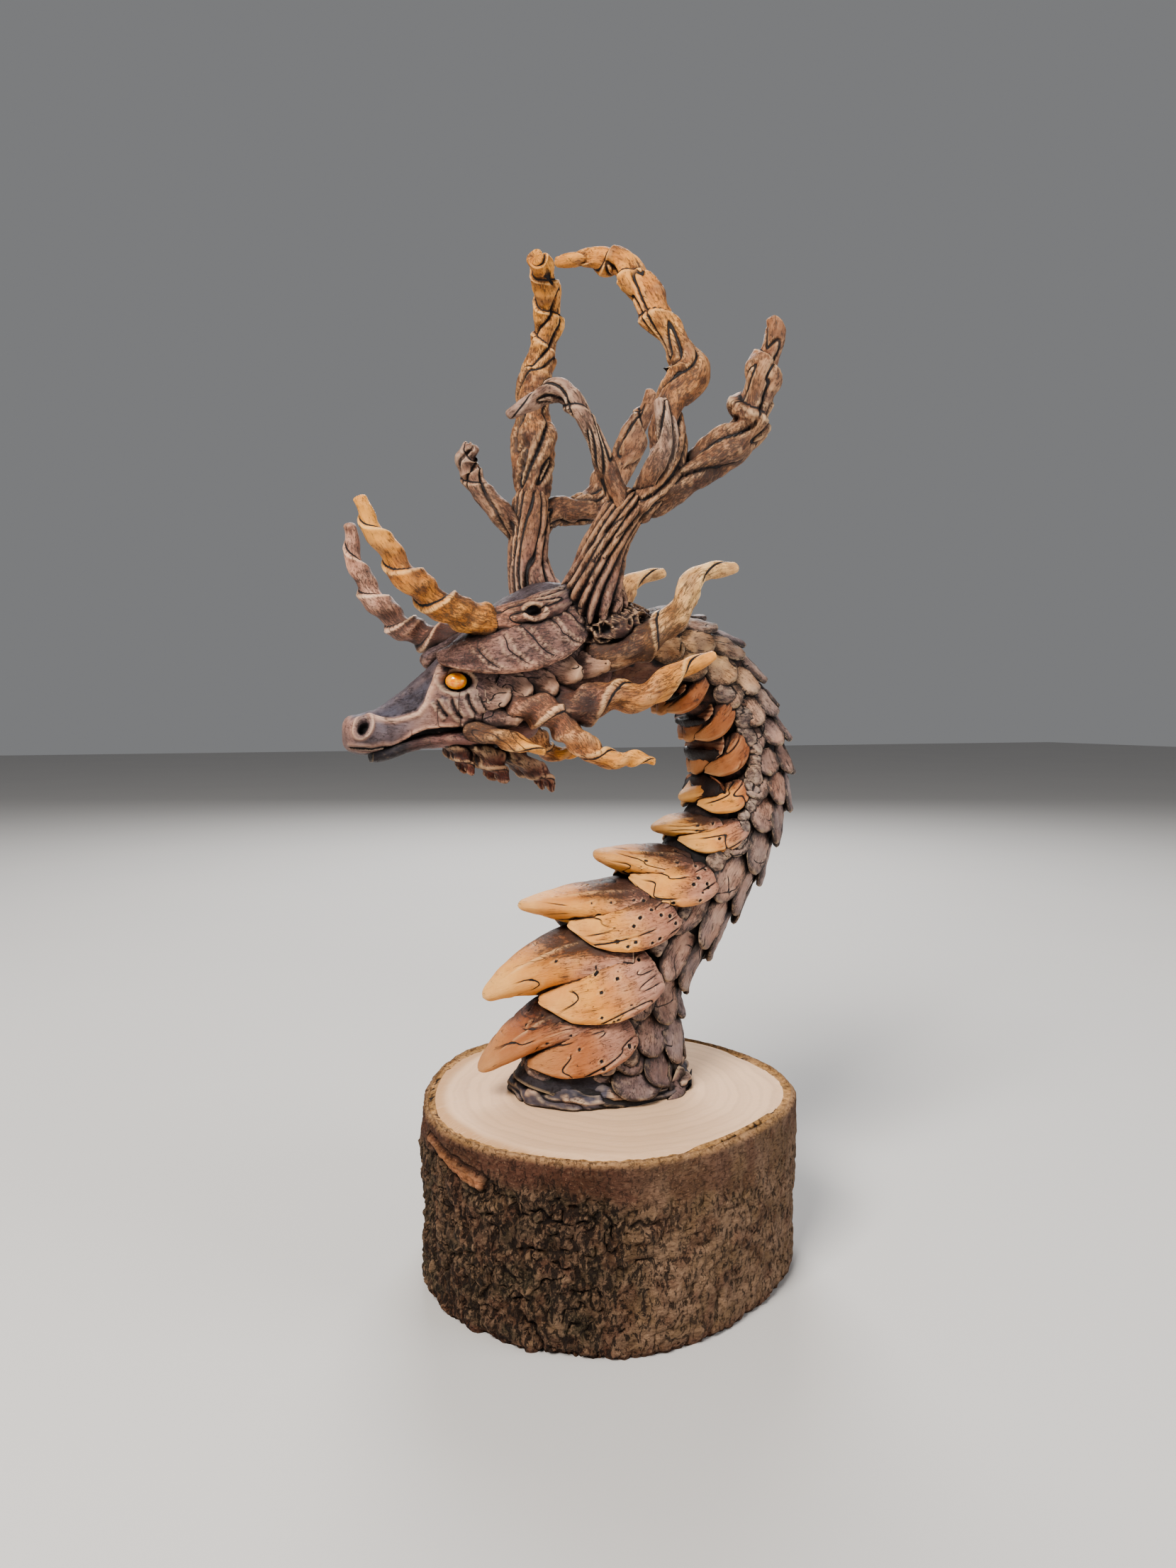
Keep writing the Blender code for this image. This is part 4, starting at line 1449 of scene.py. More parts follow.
@dataclass
class BellyPlates(ClayPiece):
    """The pointed plates down the throat and belly, each a beak between two leaves that wrap back."""

    name: str = "belly_plates"
    large: int = 4
    plates: Stations = (
        (-28.6, 6.2, -14.0, 20.6, -9.0, 9.4, 1.0, 18.0, 13.6),
        (-27.3, 22.0, -12.0, 34.8, -5.0, 19.8, 6.5, 31.0, 13.2),
        (-19.7, 41.1, -2.4, 43.8, 0.5, 32.8, 11.0, 42.0, 12.8),
        (-2.6, 51.4, 10.0, 51.4, 12.0, 41.4, 20.4, 48.5, 12.0),
        (11.1, 56.5, 19.6, 58.4, 21.5, 51.9, 28.5, 58.6, 10.8),
        (18.0, 62.8, 25.5, 66.8, 24.5, 60.8, 29.0, 67.0, 9.8),
        (21.2, 68.2, 26.0, 76.0, 25.0, 69.6, 28.6, 77.5, 9.4),
        (19.4, 75.4, 23.4, 82.0, 22.0, 77.2, 26.0, 85.0, 9.0),
        (12.6, 81.4, 16.6, 86.8, 15.4, 83.0, 19.6, 89.6, 8.8))

    def engrave(self, made: Lump, outward: Array, index: int, half_width: Array, rise: Array) -> None:
        """Cuts the long lines and the pits, and paints the plate.

        Args:
            made: A beak or a leaf, its share 0 at the rear end.
            outward: The way that its good face looks, for all points or for each.
            index: The plate's number from the foot.
            half_width: Half the shape's width at each point, in millimetres.
            rise: How high each point is on the shape, from -1 to 1.
        """
        facing = smooth(-0.15, 0.35, np.sum(made.normals() * outward, axis=1))
        front = made.share
        length = 26.0 if index < self.large else 15.0
        made.grain = np.stack([front * length, rise * half_width, np.sin(made.angle)], axis=1)
        wave = layered(made.points, 5.5, 95 + index)
        spot = np.stack([front * length, rise * half_width * (1.0 - 0.35 * front) + 1.5 * front,
                         np.full(len(front), 9.0 * index) + 0.35 * np.sin(made.angle)], axis=1)
        side_on = np.tile(np.array([0.0, 0.0, 1.0]), (len(front), 1))
        swing, distance = veins(spot, (0.13, 1.0, 1.0), 1.5, 70 + index, side_on)
        broken = layered(made.grain * np.array([0.5, 1, 1]) + 5 * index, 3.2, 80 + index, 2)
        broken = smooth(0.36, 0.52, broken)
        strength = facing * broken * smooth(0.93, 0.72, front) * smooth(0.0, 0.10, front)
        ripple = np.sqrt(np.abs(swing)) - 0.6
        made.carve(facing * (1.0 * (wave - 0.5) + 0.42 * ripple * smooth(0.95, 0.6, front)))
        made.engrave(distance * 1.5, 0.85 * strength, 0.24, 0.35)
        nearest, _, luck = cells(made.points, 1.9, 90 + index)
        inside = (luck > 0.42) * (index < 5) * (front < 0.58 + 0.1 * wave) * (front > 0.06)
        pit = np.clip(0.5 + (0.44 - nearest) * 1.7, 0, 1) * inside * (facing > 0.4)
        made.carve(-0.55 * smooth(0.35, 0.9, pit), pit)
        ruddy = index in (0, 6, 7, 8)
        body = Paint.ORANGE if ruddy else Paint.GOLD
        base = blend(body, Paint.PALE_GOLD, 0.45 * smooth(0.55, 1.0, front))
        rear = Paint.ROSE if index < 5 else Paint.ORANGE
        drift = 0.40 * (layered(made.points, 4.0, 33) - 0.5)
        base = blend(base, rear, smooth(0.60, 0.15, front + drift))
        # Painted shade: the top of each plate towards its rear is darkened to brown.
        high = smooth(0.1, 0.9, rise + 1.5 * drift) * smooth(0.80, 0.45, front)
        base = blend(base, Paint.BROWN, 0.72 * high)
        base = blend(base, Paint.MAUVE, 0.55 * smooth(0.22, 0.0, front + 0.5 * drift))
        made.paint(blend(base, Paint.BROWN, np.full(len(front), 0.34 if ruddy else 0.04)))
        # Dirt grows towards the rear, and the top rear gets more of it as painted shade.
        soil = 0.95 * smooth(0.95, 0.30, front + drift) * (0.45 + 0.55 * high)
        made.soil = np.clip(soil + 0.2 * high, 0.05, 1)

    def beak(self, index: int) -> Lump:
        """Shapes the middle of one plate, which droops to its tip.

        Args:
            index: The plate's number from the foot.

        Returns:
            The beak.
        """
        tip_x, tip_z, crown_x, crown_z, _, low_z, rear_x, rear_z, half = self.plates[index]
        height = crown_z - low_z
        root = np.array([rear_x - 5.0, 0.0, (rear_z + low_z) / 2 + 0.15 * height])
        crest = np.array([crown_x, 0.0, crown_z - 0.26 * height])
        spine = curve(root, crest, np.array([tip_x, 0.0, tip_z]))

        def outward(t: Array) -> Array:
            """Looks up, square to the middle line."""
            way = spine(np.minimum(t + 0.02, 1)) - spine(np.maximum(t - 0.02, 0))
            return unit(np.cross(np.array([0.0, 1.0, 0.0]), way))

        def half_width(t: Array) -> Array:
            """Narrows to the tip."""
            return (half * (1.0 - t) ** 0.6 + 0.5) * rounded(t, 0.02, 0.02)

        def half_height(t: Array) -> Array:
            """Thins to the tip."""
            return (0.60 * height * (1.0 - t) ** 0.66 + 0.5) * rounded(t, 0.02, 0.03)

        sides, rings = (96, 56) if index < self.large else (50, 38)
        made = Lump(sides, rings, petal(spine, outward, half_width, half_height, lens=1.0), crowd=0.45)
        flank = np.abs(np.cos(made.angle))
        dent = groove(flank - 0.72, 0.22) * smooth(0.05, 0.35, made.share) * smooth(0.90, 0.60, made.share)
        made.carve(-0.05 * height * dent * (np.sin(made.angle) < 0.75))
        self.engrave(made, made.normals(), index, half_height(made.share) + 1.0, np.sin(made.angle))
        return made

    def leaf(self, index: int, side: float) -> Lump:
        """Shapes one of the leaves that wrap a plate back round the neck.

        Args:
            index: The plate's number from the foot.
            side: -1 for the left, 1 for the right.

        Returns:
            The leaf.
        """
        tip_x, tip_z, crown_x, crown_z, low_x, low_z, rear_x, rear_z, half = self.plates[index]
        height = crown_z - low_z
        rear = np.array([rear_x, side * (half - 1.2), rear_z - 0.14 * height])
        belly = np.array([low_x, side * (half + 3.4), (crown_z + low_z) / 2 - 0.10 * height])
        tip = np.array([tip_x, 0.0, tip_z])
        low = np.array([low_x, 0.0, low_z])
        notch = tip + (low - tip) * 0.50 + np.array([0.0, side * 0.28 * half, 0.04 * height])

        def outward(t: Array) -> Array:
            """Looks out and up, and more forwards towards the tip."""
            return np.stack([-0.55 * t + 0.1, np.full(len(t), side), np.full(len(t), 0.62)], axis=1)

        def half_width(t: Array) -> Array:
            """Is widest in the middle and pointed in front."""
            pointed = smooth(1.10, 0.74, t) ** 0.6
            wide = 0.50 * height * np.sin(math.pi * (0.16 + 0.80 * t)) ** 0.6 * pointed
            return (wide + 0.3) * rounded(t, 0.04, 0.03)

        sides, rings = (76, 74) if index < self.large else (42, 40)
        bend, thickness = curve(rear, belly, notch), thinned(1.45, 0.5, 0.04, 0.06)
        made = Lump(sides, rings, petal(bend, outward, half_width, thickness, 1.1, 1.25), crowd=0.3, favour=0.5)
        rise = -side * np.cos(made.angle)
        width = half_width(made.share)
        lip = groove(rise + 0.86, 0.14) * smooth(-0.2, 0.3, np.sin(made.angle))
        made.carve(0.30 * lip)
        self.engrave(made, np.array([-0.2, side, 0.3]), index, width, rise)
        return made

    def fill(self, heap: Heap) -> None:
        """Presses the plates on, from the foot up.

        Args:
            heap: The piece that they are pressed on.
        """
        for index in range(len(self.plates)):
            heap.press(self.beak(index))
            for side in (-1.0, 1.0):
                heap.press(self.leaf(index, side))


# The head


@dataclass
class Head(ClayPiece):
    """The skull and jaw with nostrils, mouth, sockets, brow shields and cheek leaves."""

    name: str = "head"
    skull: Stations = (
        (-55.4, 75.6, 79.8, 2.6), (-54.6, 74.4, 81.0, 4.2), (-52.0, 73.6, 81.8, 5.2),
        (-48.5, 74.2, 83.0, 4.5),
        (-45.0, 75.2, 85.4, 4.3), (-41.0, 76.4, 88.6, 5.6), (-37.0, 76.6, 92.4, 7.6),
        (-32.0, 76.2, 97.4, 9.2),
        (-26.0, 76.0, 103.0, 10.4), (-19.0, 77.5, 107.6, 11.2), (-12.0, 80.5, 109.2, 11.2),
        (-5.0, 84.0, 107.0, 10.2), (1.0, 88.0, 102.5, 8.4))
    jaw: Stations = (
        (-50.4, 71.9, 75.4, 2.6), (-46.5, 72.6, 76.0, 3.3), (-41.0, 74.4, 77.6, 3.9),
        (-34.0, 74.9, 79.0, 6.2),
        (-26.0, 74.6, 82.0, 7.8), (-16.0, 77.0, 84.0, 8.2))
    brow: Stations = (
        (-38.0, 7.2, 92.6, 1.2), (-32.0, 10.4, 94.0, 4.6), (-25.0, 11.9, 95.8, 6.6),
        (-18.0, 12.2, 98.4, 7.0),
        (-12.0, 10.9, 102.0, 5.6), (-7.6, 8.4, 106.0, 1.6))
    cheek_leaves: Stations = (
        (-27.6, 9.6, 86.2, 7.2, -22, 3.9), (-23.4, 10.6, 87.2, 7.6, -30, 3.8),
        (-25.4, 9.4, 81.8, 7.4, -16, 3.4),
        (-18.6, 11.4, 88.0, 8.4, -34, 3.7), (-14.0, 11.6, 90.8, 8.6, -22, 3.6),
        (-8.0, 11.2, 92.6, 9.5, -8, 3.6))
    horn_root: Stations = (
        (-29, 10.2, 99.9, 2.4), (-23, 11.0, 100.8, 3.3), (-17, 11.0, 102.8, 3.5), (-11.5, 9.4, 105.4, 2.7),
        (-7.5, 7.3, 107.4, 1.3))
    nostril: tuple[float, float] = (-52.2, 79.3)
    eye: tuple[float, float] = (-34.3, 88.2)
    muzzle_ridge: Stations = (
        (-50.8, 81.4), (-49.4, 80.9), (-47.8, 80.6), (-46.0, 80.4), (-43.7, 81.0), (-41.4, 81.8),
        (-40.1, 83.7),
        (-39.4, 85.8), (-38.2, 88.4), (-36.9, 91.2))
    mouth: Stations = (
        (-55.6, 75.2), (-50.5, 74.8), (-48.3, 75.2), (-46.2, 75.0), (-43.6, 76.0), (-41.5, 77.0),
        (-39.5, 77.8),
        (-36.7, 78.2), (-33.4, 78.2), (-31.3, 77.6))
    creases: Sequence[Stations] = (
        [(-38.2, 84.8), (-37.8, 83.6), (-37.0, 82.2), (-35.9, 81.0)],
        [(-35.4, 85.2), (-35.1, 83.6), (-34.3, 81.8), (-32.9, 80.4)],
        [(-32.4, 86.2), (-32.2, 84.6), (-31.5, 83.0), (-30.2, 81.2)],
        [(-29.8, 87.2), (-29.8, 85.4), (-29.0, 83.6), (-27.8, 82.2)])

    def block(self, stations: Stations, flatness: float) -> Shape:
        """Lofts stations into a shape whose sections are between an oval and a box.

        Args:
            stations: x, the lowest and the highest z and the half width at a few places.
            flatness: 1 for an oval section, less for a boxier one.

        Returns:
            The shape for a lump.
        """

        def shape(share: Array, angle: Array, grown: Array) -> Array:
            """Lofts the clay."""
            x, low, high, width = along(stations, share).T
            grown = grown * rounded(share, 0.03, 0.06)
            across, lift = np.cos(angle), np.sin(angle)
            across = np.sign(across) * np.abs(across) ** flatness
            lift = np.sign(lift) * np.abs(lift) ** flatness
            z = (low + high) / 2 + grown * (high - low) / 2 * lift
            return np.stack([x, grown * width * across, z], axis=1)

        return shape

    def make_skull(self) -> Lump:
        """Shapes the skull and carves the face into both of its sides.

        Returns:
            The skull.
        """
        made = Lump(204, 200, self.block(self.skull, 0.82), crowd=0.35)
        flat = made.points[:, [0, 2]]
        side = smooth(0.20, 0.55, np.abs(made.normals()[:, 1]))
        x, z = flat.T
        ridge, share, above = from_line(flat, self.muzzle_ridge)
        hollow = smooth(0.1, 0.9, ridge) * (above > 0) * smooth(-50.6, -48.4, x) * smooth(-36.0, -39.5, x)
        hollow = hollow * smooth(0.15, 0.45, np.abs(made.normals()[:, 1]))
        height = -0.95 * hollow * side + 0.50 * groove(ridge - 0.15, 0.42) * side * smooth(0, 0.08, share)
        lean = math.radians(-28)
        away = flat - np.array(self.nostril)
        tilted = np.stack([away[:, 0] * math.cos(lean) + away[:, 1] * math.sin(lean),
                           -away[:, 0] * math.sin(lean) + away[:, 1] * math.cos(lean)], axis=1)
        hole = np.hypot(tilted[:, 0] / 1.25, tilted[:, 1] / 1.95)
        open_nostril = smooth(1.0, 0.70, hole) * side
        height += -2.3 * open_nostril + 0.55 * groove(hole - 1.30, 0.26) * side
        lip, lip_share, _ = from_line(flat, self.mouth)
        gape = 0.20 + 0.62 * smooth(0.42, 0.62, lip_share) * smooth(1.0, 0.93, lip_share)
        cut = smooth(1.15, 0.75, lip / gape) * side
        height += -(0.45 + 1.4 * smooth(0.45, 0.65, lip_share)) * cut
        height += 0.32 * groove(lip - gape - 0.50, 0.38) * side * (x < -30.5)
        look = flat - np.array(self.eye)
        ring = np.hypot(look[:, 0] / 2.85, look[:, 1] / 2.15)
        socket = smooth(1.04, 0.84, ring) * side
        lid = groove(ring - 1.24, 0.16) * side * (1 - 0.6 * smooth(0.5, 1.5, look[:, 1]))
        height += -1.9 * socket + 0.50 * lid
        shade = 0.30 * groove(ridge - 1.0, 0.5) * (above > 0) * side
        mark = np.maximum.reduce([open_nostril, cut, socket * 1.1, shade])
        crease = np.full(len(height), FAR)
        crease_strength = np.zeros(len(height))
        for index, line in enumerate(self.creases):
            gap, reach, behind = from_line(flat, line)
            fade = smooth(0.0, 0.15, reach) * smooth(1.0, 0.88, reach) * side
            height += (-0.50 * groove(gap, 0.30) + 0.42 * groove(gap - 0.85, 0.55)) * fade
            closer = 1.5 * gap < np.abs(crease)
            signed = 1.5 * gap * np.where(behind == 0, 1.0, behind) * (-1) ** index
            crease = np.where(closer, signed, crease)
            crease_strength = np.where(closer, fade, crease_strength)
        height += 0.22 * (layered(made.points, 1.1, 3) - 0.5) + 0.55 * (layered(made.points, 4.0, 5) - 0.5)
        _, lines = veins(made.points, (1.0, 0.6, 0.5), 2.3, 12, made.normals())
        faint = 0.7 * smooth(0.44, 0.56, layered(made.points, 3.5, 17)) * side
        faint = faint * smooth(-46, -41, x) * (1 - hollow)
        height -= 0.22 * groove(lines, 0.28) * faint
        dome = smooth(-42, -39, x) * smooth(89.2, 91.0, z - 0.85 * (x + 41)) * smooth(-34, -38, x)
        height += 0.5 * dome
        made.carve(height, mark)
        made.cut, made.score = nearest_line((crease, 0.8 * crease_strength), (lines * 1.8, 0.8 * faint))
        soil = 0.42 + 0.5 * (layered(made.points, 3.0, 71) - 0.5) + 0.25 * smooth(-36, -28, x)
        made.soil = np.clip(soil, 0, 1)
        made.grain = made.points * np.array([1.0, 1.3, 1.3])

        drift = 1.6 * (layered(made.points, 3.5, 25) - 0.5)
        tone = blend(Paint.MAUVE, Paint.BEIGE, 0.7 * layered(made.points, 2.5, 28))
        top = smooth(-0.25, 0.45, made.normals()[:, 2] + 0.25 * drift)
        tone = blend(tone, Paint.SLATE, 0.85 * top)
        front = smooth(-40.0, -47.0, x + drift)
        blue = blend(Paint.SLATE, Paint.PALE_SLATE, layered(made.points, 2.2, 31))
        tone = blend(tone, blue, 0.75 * front)
        tone = blend(tone, Paint.SLATE, np.clip(hollow * side, 0, 1))
        rims = [groove(hole - 1.35, 0.35), groove(ridge - 0.2, 0.5), groove(lip - gape - 0.5, 0.45)]
        tone = blend(tone, Paint.PALE_ROSE, 0.62 * np.maximum.reduce(rims) * side)
        tone = blend(tone, Paint.ROSE, 0.55 * smooth(-53.2, -54.8, x))
        made.paint(blend(tone, Paint.DARK_SLATE, smooth(77.5, 74.2, z + 0.2 * (x + 44)) * 0.5))
        return made

    def make_jaw(self) -> Lump:
        """Shapes the lower jaw with its dark chin.

        Returns:
            The jaw.
        """
        made = Lump(70, 60, self.block(self.jaw, 0.85), crowd=0.4)
        made.carve(0.5 * (layered(made.points, 2.2, 6) - 0.5))
        behind = made.points[:, 0] + 3 * (noise(made.points, 3.0, 2) - 0.5)
        made.paint(blend(Paint.DARK_SLATE, Paint.MAUVE, smooth(-46, -36, behind)))
        return made

    def make_brow(self, side: float) -> Lump:
        """Shapes the leaf-like shield over one eye, with its rim and veins.

        Args:
            side: -1 for the left, 1 for the right.

        Returns:
            The shield.
        """
        out = (0.0, side * 0.86, 0.5)

        def spine(t: Array) -> Array:
            """Follows the brow."""
            x, y, z, _ = along(self.brow, t).T
            return np.stack([x, side * y, z], axis=1)

        def half_width(t: Array) -> Array:
            """Is as wide as the brow."""
            return np.maximum(along(self.brow, t)[:, 3], 0.3) * rounded(t, 0.04, 0.05)

        def half_thickness(t: Array) -> Array:
            """Is thickest in the middle."""
            return (1.5 + 0.8 * np.sin(math.pi * t)) * rounded(t, 0.05, 0.06)

        made = Lump(100, 90, petal(spine, steady(*out), half_width, half_thickness, camber=1.0), crowd=0.3,
                    favour=0.4)
        facing = smooth(-0.1, 0.4, made.normals() @ np.array(out))
        centre = spine(made.share)
        below = -(made.points[:, 2] - centre[:, 2]) / np.maximum(half_width(made.share), 0.5)
        height = 0.55 * groove(below - 0.80, 0.14) - 0.25 * groove(below - 0.55, 0.12)
        bend = 0.17 * (below - 0.1) * np.abs(below - 0.1) - 0.02
        gaps = (made.share - bend)[:, None] - np.array([0.27, 0.41, 0.54, 0.68, 0.80])
        nearest = np.argmin(np.abs(gaps), axis=1)
        vein = np.take_along_axis(gaps, nearest[:, None], axis=1)[:, 0] * 34
        vein = vein * np.where(nearest % 2, 1.0, -1.0) + 0.8 * (noise(made.points, 2.2, 45) - 0.5)
        top = np.array([-0.15, -0.3, -0.45, -0.7, -0.8])[nearest]
        reach = smooth(top - 0.1, top + 0.25, below) * smooth(0.80, 0.66, below)
        height += (-0.30 * groove(vein, 0.32) + 0.26 * groove(np.abs(vein) - 0.85, 0.5)) * reach
        height += 0.36 * (layered(made.points, 0.9, 44) - 0.5) + 0.8 * (layered(made.points, 4.0, 46) - 0.5)
        made.carve(height * facing, 0.3 * groove(below - 0.62, 0.06) * facing)
        _, lines = veins(made.points, (0.8, 0.8, 1.3), 1.9, 57, made.normals())
        faint = 0.4 * facing * smooth(0.46, 0.60, layered(made.points, 3.0, 58))
        made.cut, made.score = nearest_line((vein * 1.4, 0.8 * reach * facing), (lines * 1.8, faint))
        tone = blend(Paint.MAUVE, Paint.BEIGE, 0.55 * layered(made.points, 2.0, 48))
        behind = made.share + 0.18 * (noise(made.points, 3, 49) - 0.5)
        tone = blend(tone, Paint.SLATE, 0.8 * smooth(0.66, 0.95, behind))
        tone = blend(tone, Paint.ROSE, 0.6 * groove(below - 0.85, 0.15))
        made.paint(blend(tone, Paint.SLATE, 0.6 * smooth(-0.45, -0.95, below)))
        made.dirty(0.72)
        return made

    def make_cheek_leaf(self, index: int, side: float) -> Lump:
        """Shapes one short leaf behind the eye or along the jaw.

        Args:
            index: The leaf's number.
            side: -1 for the left, 1 for the right.

        Returns:
            The leaf.
        """
        x, y, z, length, slope, half = self.cheek_leaves[index]
        way = unit(np.array([math.cos(math.radians(slope)), side * 0.22, math.sin(math.radians(slope))]))
        middle = np.array([x, side * y, z])

        def spine(t: Array) -> Array:
            """Bends away from the cheek."""
            bend = np.stack([np.zeros(len(t)), side * (0.5 * t + 0.9 * t * t), np.zeros(len(t))], axis=1)
            return middle + (length * (t - 0.5))[:, None] * way + bend

        def half_width(t: Array) -> Array:
            """Narrows to the tip."""
            return (half * np.sin(math.pi * (0.20 + 0.78 * t)) ** 0.85 + 0.2) * rounded(t, 0.03, 0.05)

        leaf = petal(spine, steady(-0.30, side, 0.15), half_width, thinned(1.15, 0.6, 0.03, 0.06), 1.3, 1.3)
        made = Lump(34, 30, leaf, crowd=0.3, favour=0.35)
        facing = smooth(-0.1, 0.4, made.normals() @ np.array([-0.15, side, 0.1]))
        across = np.cos(made.angle)
        height = 1.1 * (layered(made.points, 2.8, 51 + index) - 0.5)
        height -= 0.45 * groove(across - 0.15, 0.5) * smooth(0.95, 0.55, made.share)
        made.carve(facing * (height + 0.35 * groove(made.share - 0.90, 0.07)))
        _, lines = veins(made.points, (0.4, 1.0, 1.0), 1.7, 77 + index, made.normals())
        broken = smooth(0.42, 0.56, layered(made.points, 2.5, 79))
        made.engrave(lines * 1.3, facing * 0.9 * broken, 0.12, 0.22)
        made.soil = 0.75 * smooth(1.1, 0.3, made.share)
        golden = 0.15 + 0.60 * smooth(-24, -8, np.full(len(across), x))
        tone = blend(Paint.MAUVE, Paint.BEIGE, made.share)
        tone = blend(tone, Paint.TAN, golden * smooth(0.30, 0.9, made.share))
        made.paint(blend(tone, Paint.SLATE, 0.5 * smooth(0.4, 0.0, made.share)))
        made.grain = np.stack([made.share * length, across * half, np.sin(made.angle)], axis=1)
        return made

    def make_horn_root(self, side: float) -> Lump:
        """Shapes the folded clay that holds a horn to the crown, with the small hollow in its side.

        Args:
            side: -1 for the left, 1 for the right.

        Returns:
            The folded clay.
        """
        turned = [(x, side * y, z, radius) for x, y, z, radius in self.horn_root]
        made = Rope(turned, 70, 64, fold=0.26, fold_size=2.0, fold_turns=0.15, scoring=0.9, roughness=0.06,
                    near=Paint.ROSE, far=Paint.SLATE, soil=0.75, seed=60).lump()
        hole = np.hypot((made.points[:, 0] + 20.1) / 1.75, (made.points[:, 2] - 101.7) / 1.15)
        outer = made.points[:, 1] * side > 11.0
        inside = smooth(1.0, 0.70, hole) * outer
        made.carve(-1.5 * inside + 0.45 * groove(hole - 1.35, 0.28) * outer, inside)
        return made

    def fill(self, heap: Heap) -> None:
        """Presses the skull and jaw on, and then each side's leaves.

        Args:
            heap: The piece that they are pressed on.
        """
        heap.press(self.make_skull())
        heap.press(self.make_jaw())
        for side in (-1.0, 1.0):
            heap.press(self.make_brow(side))
            for index in range(len(self.cheek_leaves)):
                heap.press(self.make_cheek_leaf(index, side))
            heap.press(self.make_horn_root(side))


# Horns, spikes and antlers


@dataclass
class Spikes(ClayPiece):
    """The two horns and the spikes and beard of both cheeks."""

    name: str = "horns_and_spikes"
    left_horn: Stations = (
        (-26.8, -9.9, 99.7, 3.5), (-33, -11.6, 100.7, 3.3), (-39, -13.5, 102.9, 3.0),
        (-44, -14.8, 106.2, 2.8),
        (-48.2, -15.5, 111.1, 2.3), (-52, -16, 116.5, 1.8), (-54, -16, 121.3, 1.1))
    right_horn: Stations = (
        (-18, 8.5, 97.6, 3.2), (-29, 11, 98.0, 3.4), (-37.1, 13.5, 98.6, 3.2), (-42, 14.5, 101.3, 2.9),
        (-46.8, 15.5, 106.5, 2.5), (-50.2, 16, 113, 2.0), (-51.8, 16, 121.9, 1.3))
    right_nape_lift: float = 4.0
    nape: Stations = (
        (-8, -9, 93.0, 3.0), (0.5, -13.5, 95.0, 3.4), (5.4, -15.5, 98.1, 3.2), (9.6, -17, 103.2, 2.8),
        (13.5, -18, 109.4, 2.2), (22.3, -18, 112, 1.0))
    cheek: Stations = (
        (-19, -8.5, 85.0, 3.2), (-11, -13, 83.5, 3.8), (-4.4, -16.4, 84.8, 3.2), (2.5, -18.4, 86.4, 2.8),
        (9.4, -19.9, 90.4, 2.0), (15.8, -21, 94, 0.9))
    jowl: Stations = (
        (-25, -8, 85.0, 3.0), (-18.5, -11.9, 82.3, 3.5), (-13.4, -14.5, 79, 3.0), (-8.2, -16.8, 73.2, 2.2),
        (-1.8, -18.6, 73.1, 1.6), (3.3, -20, 72.2, 0.6))
    lip: Stations = (
        (-32.6, -6.4, 78.2, 1.5), (-27.5, -9.8, 77.8, 2.0), (-22.6, -12.0, 75.6, 1.7),
        (-17.8, -14, 74.2, 0.6))
    beard: Sequence[Stations] = (
        [(-34.5, -2.2, 77.5, 1.8), (-32, -3, 73, 1.7), (-29.9, -3.4, 69.3, 0.5)],
        [(-29, -3.6, 78, 2.6), (-25.8, -4.2, 71.5, 2.2), (-22.8, -4.6, 67.9, 0.7)],
        [(-23.5, -2.8, 77.5, 2.6), (-18.4, -3.4, 71.3, 2.1), (-14.2, -3.4, 68.2, 1.4),
         (-12.8, -3.4, 65.4, 0.5)])

    def mirrored(self, stations: Stations, side: float, lift: float = 0.0) -> Stations:
        """Turns a left shape's stations to one side, lifting each a little more than the last."""
        return [(x, -side * y, z + lift * step, radius) for step, (x, y, z, radius) in enumerate(stations)]

    def horns(self) -> list[Rope]:
        """Describes the two horns."""
        like = {"sides": 44, "rings": 140, "flatness": 0.06, "fold": 0.05, "scoring": 0.35, "roughness": 0.07}
        return [Rope(self.left_horn, wraps=4.4, wrap_height=0.46, wrap_from=0.26, near=Paint.GOLD,
                     far=Paint.GOLD, soil=0.75, clean_tip=0.55, seed=1, **like),
                Rope(self.right_horn, wraps=5.2, wrap_height=0.50, wrap_from=0.22, near=Paint.RUST,
                     far=Paint.PALE_ROSE, soil=0.9, clean_tip=0.35, seed=2, **like)]

    def cheek_spikes(self, side: float) -> list[Rope]:
        """Describes the spikes and the beard of one cheek.

        Args:
            side: -1 for the left, 1 for the right.

        Returns:
            The nape, cheek, jowl and lip spikes and the beard's strands.
        """
        like = {"sides": 38, "rings": 100, "fold": 0.12, "scoring": 0.35}
        lift = self.right_nape_lift / len(self.nape) if side > 0 else 0.0
        spikes = [Rope(self.mirrored(self.nape, side, lift), wraps=2.3, wrap_height=0.36, wrap_from=0.2,
                       flatness=0.14, near=Paint.TAN, far=Paint.PALE_GOLD, soil=0.95, clean_tip=0.6, seed=3,
                       **like),
                  Rope(self.mirrored(self.cheek, side), wraps=2.4, wrap_height=0.50, wrap_from=0.18,
                       flatness=0.16, near=Paint.MAUVE, far=Paint.GOLD, soil=0.85, clean_tip=0.7, seed=4,
                       **like),
                  Rope(self.mirrored(self.jowl, side), wraps=3.2, wrap_height=0.48, wrap_from=0.22,
                       flatness=0.18, near=Paint.ROSE, far=Paint.GOLD, soil=0.85, clean_tip=0.6, seed=5,
                       **like),
                  Rope(self.mirrored(self.lip, side), 28, 60, wraps=1.2, wrap_height=0.34, wrap_from=0.2,
                       flatness=0.22, fold=0.06, near=Paint.TAN, far=Paint.GOLD, soil=0.95, seed=6)]
        for index, stations in enumerate(self.beard):
            spikes.append(Rope(self.mirrored(stations, side), 24, 44, wraps=1.4, wrap_height=0.42,
                               flatness=0.28, fold=0.22, fold_size=1.6, near=Paint.BROWN, far=Paint.RUST,
                               soil=0.8, clean_tip=0.1, seed=7 + index))
        return spikes

